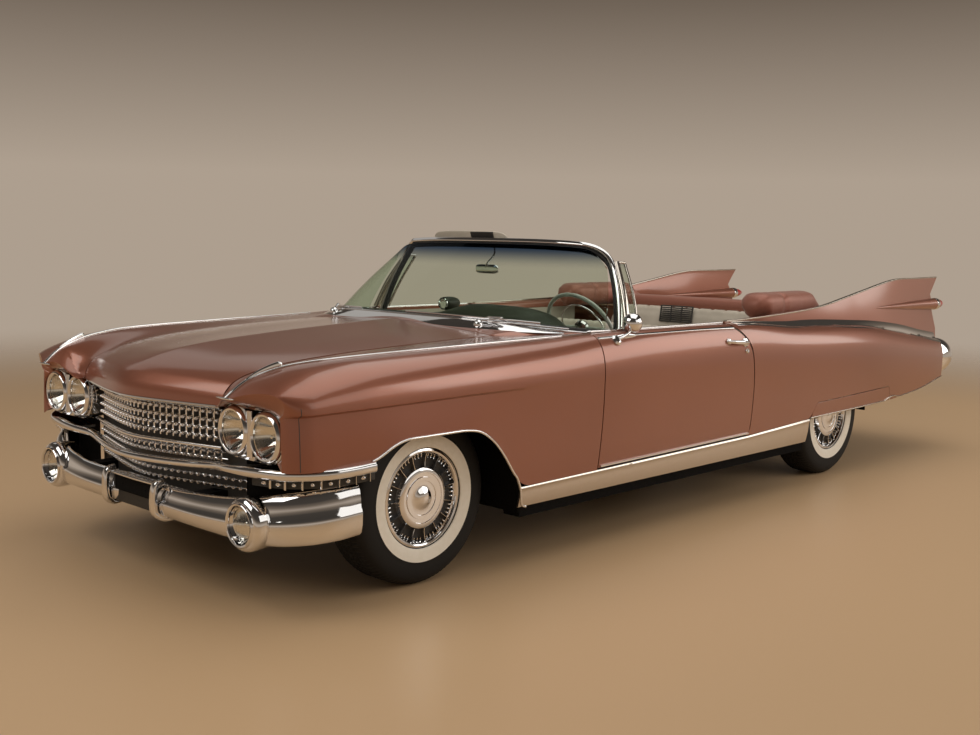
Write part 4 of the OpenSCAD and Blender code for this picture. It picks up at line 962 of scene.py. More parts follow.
def windshield_rubber():
    a = np.linspace(-83, 83, 80)
    base = glass_at(a, np.full(80, 0.02)) - (7, 0, 0)
    form = Form().bar(base, oval(16, 22), (0.4, 0, 1))
    return form.bar(surround(24, 0.01) + (4, 0, 0), oval(18, 30, 16), (1, 0, 1))


windshield().piece("windshield_pane", "root", "tinted_glass", GLASS, replaces=["windshield_glass"])
windshield_frame().piece("windshield_surround", "root", "chrome", CHROME, replaces=["windshield_frame"])
windshield_rubber().piece("windshield_rubber", "root", "black_steel", BLACK)

# Grille
PITCH = 34
UPPER_Z = [704, 672, 640, 608]
RECESS_Z = [554, 528]
LOWER_Z = [478, 447, 416]
# Share of a stud's radius, share of its length
STUD = [(0, 0), (0.45, 0.14), (0.8, 0.4), (1, 0.75), (1, 1)]


def bullet(form, tip, out, r, length):
    form.turn([(r * w, -length * d) for w, d in STUD], tip, out, 10)


def lattice(form, heights, half, back, r, length, z0, z1):
    """Bars that cross in rows and columns with a pointed stud at each crossing."""
    count = int(half // PITCH)
    ys = np.linspace(-count * PITCH, count * PITCH, 2 * count + 1)
    reach = np.linspace(-half, half, 60)
    for z in heights:
        form.bar(xyz(prow(reach) - back - length, reach, z), oval(10, 5, 8))
    for y in ys:
        x = float(prow(y)) - back - length
        form.bar([(x, y, z0), (x, y, (z0 + z1) / 2), (x, y, z1)], oval(5, 10, 8), (0, 1, 0))
        slope = (float(prow(y + 5)) - float(prow(y - 5))) / 10
        for z in heights:
            bullet(form, (x + length, y, z), (1, -slope, 0), r, length)


def grille():
    form = Form()
    lattice(form, UPPER_Z, 472, 46, 9.5, 26, 590, 722)
    lattice(form, RECESS_Z, 474, 50, 9, 24, 518, 566)
    lattice(form, LOWER_Z, 560, 84, 9.5, 26, 402, 494)
    y = np.linspace(-476, 476, 60)
    form.bar(xyz(prow(y) - 46, y, 574), oval(22, 15))
    return form


# Dark sheet of painted shade behind the grille, closing the view through to the floor.
def grille_shade_sheet():
    y = np.linspace(-610, 610, 70)
    z = np.linspace(345, 722, 4)
    mid = xyz(prow(y)[:, None] - 106, y[:, None], z[None])
    return Form().shell(mid, mid - (6, 0, 0))


def header():
    """Bright band under the lip of the hood."""
    y = np.linspace(-500, 500, 80)
    section = [(0, 739), (1, 734), (-3, 728), (-12, 723), (-24, 721), (-60, 721), (-60, 739)]
    return Form().rings(np.stack([xyz(prow(y) - 8 + d, y, z) for d, z in section], 1))


grille().piece("grille_studs", "root", "chrome", CHROME, replaces=["grille"])
grille_shade_sheet().piece("grille_shadow", "root", "black_steel", MESH)
header().piece("nose_band", "root", "chrome", CHROME)

# Bar between the halves of the grille: station, distance from the middle, height
BAR = [(prow(0) - 22, 0, 500), (prow(160) - 22, 160, 500), (prow(330) - 22, 330, 504),
       (prow(470) - 16, 470, 512), (FRONT_AXLE + 708, 590, 520), (FRONT_AXLE + 702, 720, 526),
       (FRONT_AXLE + 664, 868, 530), (FRONT_AXLE + 572, 964, 535), (FRONT_AXLE + 470, 1000, 541),
       (FRONT_AXLE + 372, 1006, 546)]


def grille_bar():
    path = smooth_path(whole(BAR), 160)
    wide = 0.9 + 0.35 * ramp((np.abs(path[:, 1]) - 450) / 300)
    form = Form().bar(path, oval(40, 32, 20, 0.8), scale=np.stack([np.ones_like(wide), wide], 1))
    for side in (-1, 1):
        shelf = smooth_path(BAR[4:9], 50) * (1, side, 1) + (-44, -30 * side, 6)
        form.bar(shelf, oval(116, 22, 20, 0.5), scale=np.sqrt(np.sin(np.linspace(0.35, 2.6, 50))))
    return form


grille_bar().piece("grille_mid_bar", "root", "chrome", CHROME, replaces=["grille_bar"])

# Front bumper: station, distance from the middle, lower and upper edge
BUMPER = [(NOSE - 58, 0, 280, 398), (NOSE - 58, 120, 280, 398), (NOSE - 44, 172, 280, 400),
          (NOSE - 40, 230, 280, 401), (NOSE - 38, 400, 280, 405), (NOSE - 52, 560, 276, 414),
          (NOSE - 78, 717, 270, 432), (NOSE - 122, 850, 272, 456), (NOSE - 207, 950, 282, 476),
          (NOSE - 307, 994, 292, 487), (NOSE - 385, 1004, 300, 491)]
# Section of the bumpers: outwards, share of the height
FACE = [(-34, 0.05), (-16, 0.0), (-4, 0.06), (3, 0.22), (4, 0.42), (0, 0.5), (-6, 0.54), (-9, 0.7),
        (-16, 0.86), (-28, 0.97), (-40, 1.0), (-44, 0.97)]
# Upright guard: distance behind the nose, outwards from its place, height
GUARD = [(66, 6, 414), (34, 2, 404), (24, 0, 350), (26, 0, 300), (36, 4, 284), (60, 12, 270), (92, 18, 270)]
# Lamp pod: from the lens's radius and from the pod's own, place along its axis
POD_LIP = [(-2, -34), (0, -8), (4, 0), (10, 2), (14, -2), (15, -8)]
POD_SIDE = [(-8, -12), (0, -26), (1, -50)]


def plan_bar(rows, section):
    """A bar along a path in plan; section points are (outwards, share of the height)."""
    t = unit(np.gradient(rows[:, :2], axis=0))
    out = np.stack([t[:, 1], -t[:, 0]], -1)
    if (out * rows[:, :2]).sum() < 0:
        out = -out
    x, y, low, high = rows.T
    return np.stack([xyz(x + d * out[:, 0], y + d * out[:, 1], mix(low, high, k)) for d, k in section], 1)


def pod(form, centre, r, lens_r, length):
    lip = [(lens_r + d, h) for d, h in POD_LIP]
    body = [(r + d, h) for d, h in POD_SIDE] + [(r - 4, -length), (0, -length)]
    form.turn(lip + body, centre, count=64)


def guard(form, y):
    """Upright flare beside the plate's recess, its foot turned in under the bumper."""
    side = np.sign(y)
    path = smooth_path([(NOSE - back, y + out * side, z) for back, out, z in GUARD], 40)
    scale = np.stack([np.ones(40), np.linspace(0.85, 1.1, 40)], 1)
    form.bar(path, oval(24, 36, 16, 0.6), (0, side, 0), scale=scale)


def front_bumper():
    form = Form().rings(plan_bar(smooth_path(whole(BUMPER), 200), FACE))
    for side in (-1, 1):
        pod(form, (POD_X, side * POD_Y, POD_Z), POD_R, FOG_R, 110)
        guard(form, side * 186)
    y = np.linspace(-176, 176, 20)
    return form.bar(xyz(NOSE - 48 - 0.0002 * y * y, y, 402), oval(34, 16))


def plate_recess():
    """Dark blank field between the guards."""
    y = np.linspace(-170, 170, 12)[:, None]
    z = np.linspace(284, 392, 8)[None]
    face = xyz(NOSE - 52 + 0 * z, y, z)
    return Form().shell(face, face - (8, 0, 0))


plate_recess().piece("plate_recess", "root", "black_steel", BLACK)
front_bumper().piece("front_bumper_bar", "root", "chrome", CHROME, replaces=["front_bumper"], sharp=45)


def side_cells():
    """Dark recess with bright studs between thin posts under the bar's ends."""
    form = Form()
    form.bar(smooth_path(BAR[5:], 40) + (-16, -16, -30), oval(6, 44), mark=1)
    path = smooth_path(BAR[5:], 60) + (0, 0, -34)
    away = unit(np.gradient(path, axis=0) * (1, 1, 0))
    for k in range(6, 58, 8):
        out = np.array([away[k, 1], -away[k, 0], 0])
        bullet(form, path[k] + 2 * out, out, 11, 24)
        post = path[k + 1] + away[k] * 22 - 10 * out
        form.bar([post - (0, 0, 18), post, post + (0, 0, 18)], oval(4, 12, 8), (0, 1, 0))
    return form.mirror()


side_cells().piece("bumper_side_cells", "root", "chrome", CHROME, MESH)


# Headlamps: rim (from the lamp's radius) and lens (radius), each with its place along the axis
RIM_EDGE = [(-22, 2), (1, 0), (2, 18), (-2, 28), (-9, 33), (-15, 32), (-19, 27), (-21, 20)]
LAMP_LENS = [(0, 33), (30, 31.5), (50, 28.5), (64, 24), (71, 20), (71, 16), (60, 20), (30, 28), (0, 29)]


def slot_ring(r, count=72):
    """Outline round a pair of lamps: two half circles apart by the pitch."""
    a = np.linspace(0, 2 * np.pi, count, endpoint=False)
    c = np.cos(a)
    apart = LAMP_PITCH / 2 * np.sign(c) * (np.abs(c) > 1e-6)
    return np.stack([apart + r * c, r * np.sin(a)], -1)


def lamp_housings():
    form = Form()
    outer, inner = slot_ring(101), slot_ring(86)
    stack = [(inner, -70), (outer, -70), (outer, -12), (slot_ring(99), -4), (slot_ring(94), -8), (inner, -12)]
    rings = np.stack([xyz(LAMP_FACE + d, LAMP_Y + ring[:, 0], LAMP_H + ring[:, 1]) for ring, d in stack])
    return form.sheet(rings, True, True).mirror()


def lamp_centres():
    return [(LAMP_FACE - 12, LAMP_Y + s * LAMP_PITCH / 2, LAMP_H) for s in (-1, 1)]


def lamp_rims():
    form = Form()
    profile = [(LAMP_R + d, h) for d, h in RIM_EDGE]
    for centre in lamp_centres():
        form.turn(profile, centre, count=64, closed=True)
    z = np.linspace(-84, 84, 20)
    form.bar(xyz(LAMP_FACE + 8, LAMP_Y, LAMP_H + z), oval(34, 10), (1, 0, 0))
    return form.mirror()


def lamp_bowls():
    form = Form()
    for centre in lamp_centres():
        form.turn([(72, 18), (66, 6), (50, -22), (28, -42), (0, -50)], centre, count=48)
        form.turn([(9, -46), (10, -12), (7, -4), (0, -1)], centre, count=16)
    centre = (POD_X - 4, POD_Y, POD_Z)
    form.turn([(FOG_R - 3, -2), (FOG_R * 0.8, -30), (FOG_R * 0.45, -52), (0, -62)], centre, count=48)
    form.turn([(8, -58), (9, -30), (0, -22)], centre, count=16)
    return form.mirror()


def lamp_lenses():
    form = Form()
    for centre in lamp_centres():
        form.turn(LAMP_LENS, centre, count=48)
    fog = [(0, -8), (FOG_R * 0.6, -12), (FOG_R - 4, -20), (FOG_R - 4, -24), (FOG_R * 0.6, -17), (0, -13)]
    form.turn(fog, (POD_X, POD_Y, POD_Z), count=48)
    return form.mirror()


lamp_housings().piece("lamp_housing_shells", "root", "chrome", CHROME, replaces=["lamp_housings"])
lamp_rims().piece("lamp_rim_rings", "root", "chrome", CHROME, replaces=["lamp_rims"])
lamp_bowls().piece("lamp_reflectors", "root", "chrome", CHROME)
lamp_lenses().piece("lamp_glasses", "root", "clear_lens", LENS, replaces=["lamp_lenses"])

# Rear end
REAR_POD_Y, REAR_POD_Z = 828, 618
REAR_POD = [(0, -30), (60, -30), (66, -26), (70, -6), (76, 0), (86, -2), (100, -10), (112, -26), (119, -46),
            (122, -80), (121, -150), (113, -172), (100, -190), (0, -190)]
TAIL_LENS = [(0, 0), (32, 0), (33, 40), (32, 62), (28, 90), (20, 118), (11, 140), (5, 150), (0, 153)]
TAIL_RING = [(34, -4), (39, -4), (40, 8), (39, 36), (36, 44), (33, 40)]
BACK = (-1, 0, 0)
REAR_PATH = [(TAIL + 16, 0, 432, 590), (TAIL + 22, 400, 432, 590), (TAIL + 40, 735, 436, 590)]


def rear_bumper():
    form = Form().rings(plan_bar(smooth_path(whole(REAR_PATH), 80), FACE))
    for side in (-1, 1):
        centre = (TAIL, side * REAR_POD_Y, REAR_POD_Z)
        form.turn(REAR_POD, centre, BACK, 64)
        for r in (22, 40):
            form.turn([(r - 3, -32), (r - 3, -24), (r + 3, -24), (r + 3, -32)], centre, BACK, 40)
    return form


def rear_grille():
    """Band of studs between the trunk lid and the rear bumper."""
    form = Form()
    for z in (604, 632):
        for y in np.arange(-646, 647, PITCH):
            bullet(form, (TAIL + 28, y, z), BACK, 9, 26)
        form.bar([(TAIL + 54, y, z) for y in np.linspace(-660, 660, 20)], oval(5, 8, 8))
    return form


def tail_panel():
    y = np.linspace(-690, 690, 24)
    z = np.linspace(425, 651, 12)
    mid = xyz(REAR_AXLE - 1450 + 0 * z[None], y[:, None], z[None])
    return Form().shell(mid, mid + (14, 0, 0))


def tail_lamps():
    form, rings = Form(), Form()
    for y in LAMP_PAIR:
        at = (REAR_AXLE - 1444.5, y, NACELLE_Z)
        form.turn(TAIL_LENS, at, BACK, 40)
        rings.turn(TAIL_RING, at, BACK, 40, closed=True)
    return form.mirror(), rings.mirror()


rear_bumper().piece("rear_bumper_bar", "root", "chrome", CHROME, replaces=["rear_bumper"], sharp=45)
rear_grille().piece("rear_studs", "root", "chrome", CHROME)
tail_panel().piece("tail_sheet", "root", "body_paint", PAINT, replaces=["tail_panel"], bevel=2)
lamps, lamp_bezels = tail_lamps()
lamps.piece("tail_lamp_lenses", "root", "red_lens", RED, replaces=["tail_lamps"])
lamp_bezels.piece("tail_lamp_rings", "root", "chrome", CHROME)


# Dark linings behind the front wheels, and a sheet of painted shade behind the front ends
def splash_walls():
    """Wall behind each front wheel."""
    y = np.linspace(452, 966, 12)[:, None]
    z = np.linspace(SILL_LOW - 26, 600, 10)[None]
    face = xyz(FRONT_AXLE - 447 + 0 * z, y, z)
    return Form().shell(face, face - (6, 0, 0)).mirror()


def front_shade_sheet():
    """Dark sheet of painted shade behind the ends of the bar and the bumper, closing the view through to the
    floor.
    """
    path = smooth_path(BAR[4:8], 40) + (-96, -30, 0)
    z = np.linspace(330, 548, 6)
    face = xyz(path[:, None, 0], path[:, None, 1], z[None])
    return Form().panel(face, (FRONT_AXLE, 600, 450), 5).mirror()


splash_walls().piece("splash_walls", "root", "black_steel", SHADE)
front_shade_sheet().piece("front_painted_shade", "root", "black_steel", SHADE)


def trunk_liner():
    """Lining of the trunk: floor and both sides."""
    x = np.linspace(REAR_AXLE - 400, TAIL + 175, 30)[:, None]
    y = np.linspace(-692, 692, 30)[None]
    base = xyz(x, y, 522 + 0 * y)
    form = Form().shell(base, base - (0, 0, 4))
    z = np.linspace(522, 790, 10)[None]
    for side in (-1, 1):
        wall = xyz(x, side * 695 + 0 * z, z)
        form.shell(wall, wall + (0, 4 * side, 0))
    return form


trunk_liner().piece("trunk_liner", "root", "black_steel", MESH)


# Bright trim
def fender_trim():
    form = Form()
    x = np.linspace(NOSE - 14, FRONT_AXLE - 790, 90)
    crest = xyz(x, crest_y(x), crest_z(x) + 2)
    form.bar(crest, oval(14, 10), scale=np.linspace(1, 0.5, 90))
    x = np.linspace(NOSE - 84, NOSE - 224, 30)
    t = np.linspace(0, 1, 30)
    high = 21 * np.sin(np.pi / 2 * t) ** 0.8 * ramp((1 - t) / 0.04) + 4
    form.bar(xyz(x, crest_y(x), crest_z(x) + high / 2), oval(11, 1), scale=np.stack([0.4 + 0.6 * t, high], 1))
    y = np.linspace(640, 745, 14)
    tip = fender_line(1, 1.0, np.array([FENDER_LIP]))[0]
    brow = xyz(tip[0] - 0.0016 * (y - 690) ** 2, y, tip[2] + 4)
    form.bar(brow, oval(10, 8), scale=np.sin(np.linspace(0.5, 2.64, 14)))
    return form.mirror()


def arch_trim():
    """Moulding round the wheel opening that ends in a foot on the sill."""
    x = np.linspace(FRONT_AXLE + 372, FRONT_AXLE - 418, 120)
    edge = below(x, soft(FENDER_LOW, x)) + (0, 1, 2)
    foot = [(431, 345), (439, 315), (446, 287), (458, 268), (478, 261)]
    end = np.array([below(np.array(FRONT_AXLE - back), np.array(float(z))) for back, z in foot]) + (0, 2, 0)
    return Form().bar(smooth_path(np.concatenate([edge[::3], end]), 130), oval(10, 12), (0, 1, 0)).mirror()


def fender_seams():
    """Thin joint in the fender behind the outer lamp."""
    x0 = np.array([FENDER_LIP - 40.0])
    rows = panel_rows(0, 0.02, 1, 12) + panel_rows(1, 0, 0.12, 4)
    path = np.array([fender_line(part, s, x0)[0] for part, s in rows])
    return Form().bar(smooth_path(path, 40), oval(3, 2.4, 8), (0, 1, 0)).mirror()


fender_seams().piece("fender_seams", "root", "black_steel", MESH)


def tail_edge():
    """Bright edge under the skirt and the tail."""
    x = np.linspace(REAR_AXLE + 470, REAR_AXLE - 1425, 120)
    low = soft(QUARTER_LOW, x, 110)
    skirt = skirt_low(x)
    z = np.where(x > REAR_AXLE - 545, skirt, np.maximum(low, skirt))
    edge = below(x, np.convolve(np.pad(z, 4, "edge"), np.full(9, 1 / 9), "valid"))
    return Form().bar(edge + (0, 0, 1), oval(9, 11), (0, 1, 0)).mirror()


tail_edge().piece("tail_edges", "root", "stainless", STEEL)


# Station, width of the strip on the belt; station, its lift
BELT_WIDTH = [(1110, 9), (400, 9), (-100, 16), (-597, 32), (-1525, 46), (-2357, 58), (-2700, 66)]
BELT_LIFT = [(400, 0), (-100, 0), (-600, 8), (-900, 14), (-1500, 6), (-2100, 26), (-2500, 12), (-3100, 0)]


def belt_strip(x, drop):
    """Bright strip that lies on the crest of the side, wider to the rear."""
    rows = []
    for t in np.linspace(-1, 1, 9):
        z = crest_z(x) - drop + along(BELT_LIFT, 1, x) + t * along(BELT_WIDTH, 1, x) / 2
        rise = ramp((z - crest_z(x)) / np.maximum(fin(TOP_Z, x) - crest_z(x), 1))
        y = np.where(z > crest_z(x), fin_outer(x, rise), shoulder(x, z)[..., 1])
        rows.append(xyz(x, y + 1 + 5 * (1 - t * t), z))
    outer = np.array(rows)
    return Form().shell(outer, outer - (0, 8, 0))


def fin_trim():
    x = np.linspace(QUARTER_FRONT + 130, REAR_AXLE - 1555, 140)
    top = xyz(x, fin(TOP_Y, x), fin(TOP_Z, x) + 2)
    return Form().bar(top, oval(FIN_EDGE + 5, 9, 12, 0.5)).mirror()


def door_trim():
    x = np.linspace(DOOR_FRONT - 30, DOOR_REAR + 176, 70)
    form = Form().bar(xyz(x, crest_y(x) - 16, BELT_H + 2 + 0 * x), oval(26, 9, 12, 0.5))
    x = np.linspace(DOOR_FRONT - 6, DOOR_REAR + 10, 50)
    form.bar(below(x, sill_top(x) + GAP + 8) + (0, 2, 0), oval(10, 14, 12, 0.6), (0, 1, 0))
    return form


def door_handle():
    form = Form()
    front, rear = np.array([116.0, 877.0]), np.array([-74.0, 862.0])
    t = np.linspace(0, 1, 30)
    grip = shoulder(*mix(front, rear, t[:, None]).T) + xyz(0, 8 + 22 * np.sin(np.pi * t) ** 0.7, 0)
    form.bar(grip, oval(15, 22, 14), (0, 0, 1),
             scale=0.5 + 0.5 * np.sin(np.pi * np.clip(t * 0.9 + 0.08, 0, 1)))
    for k, r in ((0.06, 16), (0.86, 24)):
        at = shoulder(*mix(front, rear, k))
        form.turn([(r, -2), (r, 4), (r * 0.8, 11), (r * 0.4, 14), (0, 14)], at, (0, 1, 0.2), 28)
    at = shoulder(np.array(-58.0), np.array(820.0))
    form.turn([(14, -2), (14, 4), (11, 9), (4, 9), (0, 6)], at, (0, 1, 0.2), 24)
    return form


# Outside mirror's ball: radius, place along its axis
BALL = [(0, 46), (18, 43), (33, 33), (43, 17), (46, 0), (44, -14), (37, -28), (33, -30), (30, -27), (0, -27)]


def mirror_ball():
    form = Form()
    ball = (842, 960, 997)
    form.turn(BALL, ball, (0.93, 0.28, 0.1), 40)
    foot = shoulder(np.array(985.0), np.array(926.0))
    form.bar(smooth_path([foot, foot + (-24, 12, 12), (880, 976, 962), ball], 14), oval(13, 13))
    form.turn([(26, -4), (26, 4), (18, 12), (0, 15)], foot, (0, 0.8, 0.6), 28)
    x = np.linspace(840, 985, 24)
    form.bar(shoulder(x, 940 + 0 * x) + xyz(0, 3, 0), oval(8, 26, 14), (0, 0, 1),
             scale=np.sin(np.linspace(0.25, 2.9, 24)))
    return form


fender_trim().piece("fender_strips", "root", "chrome", CHROME)
arch_trim().piece("arch_mouldings", "root", "chrome", CHROME)
quarter_x = np.linspace(QUARTER_FRONT + 96, TAIL_EDGE, 130)
belt_strip(quarter_x, 0).mirror().piece("belt_strips", "root", "stainless", CHROME)
fin_trim().piece("fin_edges", "root", "stainless", STEEL)
door_x = np.linspace(DOOR_FRONT - 8, DOOR_REAR + 150, 70)
for name, form in (("belt", belt_strip(door_x, 17)), ("caps", door_trim()), ("handle", door_handle())):
    form.pair("door_" + name + "_{}", "door_{}", "chrome", CHROME)
mirror_ball().piece("outside_mirror", "door_left", "chrome", CHROME)

# Vent windows: corners from the front foot round to the rear foot
VENT = [(FRONT_AXLE - 1262, 892, BELT_H + 7), (FRONT_AXLE - 1350, 747, 1264), (FRONT_AXLE - 1420, 741, 1262),
        (FRONT_AXLE - 1345, 886, BELT_H + 7)]


def vent_frame():
    a, b, c, d = (np.array(p, float) for p in VENT)
    front = smooth_path([a, mix(a, b, 0.5) + (6, 14, 0), b], 20)
    form = Form().bar(front, oval(26, 36, 16), (1, 0, 0), scale=np.linspace(1.1, 0.85, 20))
    form.bar(smooth_path([b, mix(b, c, 0.5) + (0, 0, 3), c], 8), oval(14, 12))
    form.bar(smooth_path([c, mix(c, d, 0.5) + (0, 12, 0), d], 18), oval(12, 14), (1, 0, 0))
    form.bar([d + (4, 0, 4), mix(d, a, 0.5) + (0, 0, 4), a + (0, 0, 4)], oval(16, 12))
    return form


def vent_pane():
    a, b, c, d = (np.array(p, float) for p in VENT)
    s = np.linspace(0.02, 0.98, 14)[:, None, None]
    t = np.linspace(0, 1, 8)[None, :, None]
    bow = np.array([0, 13, 0]) * np.sin(np.pi * s)
    grid = mix(mix(a, b, s), mix(d, c, s), t) + bow
    return Form().panel(grid, (600, 0, 1100), 4)


vent_frame().pair("vent_frame_{}", "door_{}", "chrome", STEEL, replaces="vent_{}")
vent_pane().pair("vent_pane_{}", "door_{}", "tinted_glass", GLASS)


# Wipers and the bright strip on the cowl
def wipers():
    form = Form()
    for start, end, pivot in ((-64, -12, -30), (0, 50, 24)):
        a = np.linspace(start, end, 30)
        form.bar(base_at(a) + xyz(20, 0, 22), oval(7, 18), (0.5, 0, 1))
        foot = base_at(np.array(float(pivot))) + (66, 0, -4)
        form.turn([(22, -16), (22, 8), (17, 17), (10, 24), (0, 26)], foot, (0.3, 0, 1), 24)
        rest = (start + end) / 2
        arm = smooth_path([foot + (0, 0, 18), base_at(np.array(rest + 8)) + (42, 0, 36),
                           base_at(np.array(rest)) + (22, 0, 33)], 14)
        form.bar(arm, oval(13, 7))
    return form


def cowl_strip():
    """Wide bright strip with a raised rib on the cowl, pointed at its ends."""
    a = np.linspace(-66, 66, 90)
    taper = np.cos(np.radians(a * 1.36)) ** 0.5
    form = Form().bar(base_at(a) + xyz(64, 0, -3), oval(96, 10, 24, 0.9), (0.42, 0, 0.9),
                      scale=np.stack([taper, 0.3 + 0.7 * taper], 1))
    return form.bar(base_at(a) + xyz(30, 0, 14), oval(16, 10), scale=0.4 + 0.6 * taper)


cowl_strip().piece("cowl_strip", "root", "stainless", CHROME)
wipers().piece("wipers", "root", "chrome", CHROME)

# Cabin: cover over the folded top
BOOT = [(REAR_AXLE + 620, 684), (REAR_AXLE + 450, 686), (REAR_AXLE + 220, 680), (REAR_AXLE - 20, 652),
        (REAR_AXLE - 165, 565), (REAR_AXLE - 232, 400), (REAR_AXLE - 250, 180), (REAR_AXLE - 252, 0)]


BOOT_H = 146
DECK_FRONT, DECK_HALF = REAR_AXLE + 200, 640


def boot_path(z, count):
    """Path of the cover round the well, at one height."""
    half = np.array(BOOT, float)
    path = np.concatenate([half, half[-2::-1] * (1, -1)])
    return smooth_path(xyz(path[:, 0], path[:, 1], z), count)


def boot_deck():
    """Cloth between the rolls, and a rolled front edge behind the rear seat."""
    u = np.linspace(-1, 1, 61)[:, None]
    t = np.linspace(0, 1, 40)[None]
    x = mix(DECK_FRONT, LID_FRONT + 46, t)
    half = mix(DECK_HALF, np.minimum(fin(DECK_Y, x) - 4, 700), ramp(t * 1.6))
    sag = 5 * np.sin(np.pi * t) * (1 - u**4)
    ripple = 2.5 * np.sin(9 * u + 5 * t) * np.sin(np.pi * t)
    z = mix(960, 951, t) - 8 * ramp((t - 0.94) / 0.06) ** 2 - sag + ripple
    form = Form().panel(xyz(x, u * half, z), (REAR_AXLE, 0, 300), 6)
    y = np.linspace(-DECK_HALF, DECK_HALF, 70)
    seam = 1 - 0.04 * (np.abs(np.sin(y / 106)) < 0.06)
    crown = np.sqrt(np.clip(1 - np.abs(y / DECK_HALF) ** 8, 0.1, 1)) * seam
    return form.bar(xyz(DECK_FRONT, y, 976), oval(112, 92, 28, 0.85), scale=crown)


def boot_cover():
    """Roll of the folded top, low behind the seat and full at both sides."""
    t = np.abs(np.linspace(-1, 1, 150))
    end = np.sqrt(ramp(1 - ((t - 0.955) / 0.045).clip(0) ** 2) + 0.02)
    cap = np.exp(-(((t - 0.845) / 0.009) ** 2))
    stitch = np.exp(-((((t * 5) % 1 - 0.5) / 0.03) ** 2))
    seam = 1 - 0.15 * cap - 0.02 * stitch
    high = mix(0.36, 1.0, ramp((t - 0.44) / 0.16) ** 2)
    scale = np.stack([end * seam * 0.98, end * seam * high], 1)
    lowered = boot_path(1014, 150) - xyz(0, 0, BOOT_H / 2 * (1 - scale[:, 1]))
    return Form().bar(lowered, oval(190, BOOT_H, 40, 0.72), scale=scale)


def boot_snaps():
    form = Form()
    for p in boot_path(958, 26)[1:-1]:
        out = unit(np.array([p[0] - REAR_AXLE - 500, p[1] * 1.4, 0]))
        form.turn([(7, -3), (7, 2), (5, 4), (0, 5)], p + 93 * out, out, 14)
    return form


boot = boot_cover().piece("boot_pad", "root", "top_cover", COVER, replaces=["boot_cover"], sharp=60)
deck = boot_deck().piece("boot_deck", "root", "top_cover", COVER, sharp=60)
boot_snaps().piece("boot_snaps", "root", "chrome", CHROME)


# Seats
def channels(u, count):
    """Height between the sewn seams of a bench, u from one side to the other."""
    return np.abs(np.sin(np.pi * count * u)) ** 0.35


def cushion(x0, x1, z0, z1, w, count):
    """A bench cushion: crowned top with sewn channels from side to side."""
    u = np.linspace(0, 1, 61)[:, None]
    a = np.linspace(0, 2 * np.pi, 88, endpoint=False)[None]
    end = np.sqrt(np.clip(1 - np.abs(2 * u - 1) ** 14, 0.02, 1))
    cx, cz, rx, rz = (x0 + x1) / 2, (z0 + z1) / 2, (x1 - x0) / 2 - 3, (z1 - z0) / 2 - 3
    px, pz = power(np.cos(a), 0.42), power(np.sin(a), 0.5)
    top = ramp(pz * 1.5)
    groove = channels(u, count) * 7 * top * ramp((0.86 - np.abs(px)) / 0.1)
    x = cx + rx * px * end
    z = cz + rz * pz * end - 7 * top + groove
    return x, mix(-w / 2 + 3, w / 2 - 3, u) + 0 * a, z


def bench(x0, x1, z0, z1, back_x, back_z0, back_z1, w, count, lean=80, deep=105):
    form = Form()
    x, y, z = cushion(x0, x1, z0, z1, w, count)
    form.rings(xyz(x, y, z))
    x, y, z = cushion(-deep / 2, deep / 2, back_z0, back_z1, w, count)
    t = ramp((z - back_z0) / (back_z1 - back_z0))
    roll = channels(y / w + 0.5, count)
    front = ramp(x / deep * 4) * ramp((0.92 - t) / 0.06)
    form.rings(xyz(back_x - deep / 2 - lean * t + x + 6 * roll * front, y, z))
    return form


SEAT_FRONT = FRONT_AXLE - 1570
front_bench = bench(SEAT_FRONT - 520, SEAT_FRONT, 390, 500, SEAT_FRONT - 522, 412, 905, 1400, 30)
seat = front_bench.piece("front_bench", "root", "seat_leather", HIDE, replaces=["front_seat"], sharp=60)
rear_bench = bench(REAR_AXLE + 388, REAR_AXLE + 820, 390, 490, REAR_AXLE + 384, 520, 960, 1160, 24)
seat = rear_bench.piece("rear_bench", "root", "seat_leather", HIDE, replaces=["rear_seat"], sharp=60)


# Side trim of the cabin
def quarter_trim():
    x = np.linspace(QUARTER_FRONT - 14, REAR_AXLE + 400, 30)[None]
    z = np.linspace(302, 928, 40)[:, None]
    pleat = 5 * np.abs(np.sin(np.pi * x / 60)) ** 0.4 * (z < 700)
    face = xyz(x, 790 - pleat - 8 * np.exp(-((z - 706) / 12) ** 2), z)
    return Form().shell(face, face + (0, 16, 0)).mirror()


def speakers():
    """Slatted opening in the middle of the rear backrest."""
    form = Form()
    y = np.linspace(-150, 84, 20)
    for k in range(9):
        z = 868 + 12 * k
        x = REAR_AXLE + 382 - 80 * (z - 520) / 440 + 10
        form.bar(xyz(x + 0 * y, y, z), oval(8, 8, 8))
    for y in (-152, -74, 5, 84):
        post = [(REAR_AXLE + ahead, y, z) for ahead, z in ((330, 864), (321, 914), (312, 966))]
        form.bar(post, oval(9, 9, 8), (0, 1, 0))
    return form


def door_card():
    u = np.linspace(0.02, 0.98, 90)[None]
    z = np.linspace(392, 945, 46)[:, None]
    x = mix(door_front_at(z) - 60, door_rear_at(z) + 22, u)
    pleat = 5 * np.abs(np.sin(np.pi * u * 30)) ** 0.4 * (np.abs(z - 520) < 105)
    rest = 52 * np.exp(-((z - 700) / 26) ** 4) * np.exp(-((u - 0.52) / 0.3) ** 6)
    face = xyz(x, door_inner_y(z) - 3 - pleat - rest, z)
    return Form().shell(face, xyz(x, door_inner_y(z) - 0.5, z))


quarter_trim().piece("quarter_trim", "root", "seat_leather", HIDE, replaces=["inner_panels"])
speakers().piece("speaker_grilles", "root", "black_steel", MESH)
door_card().pair("door_card_{}", "door_{}", "seat_leather", HIDE, sharp=50)

# Dashboard
DASH_FACE = FRONT_AXLE - 1120


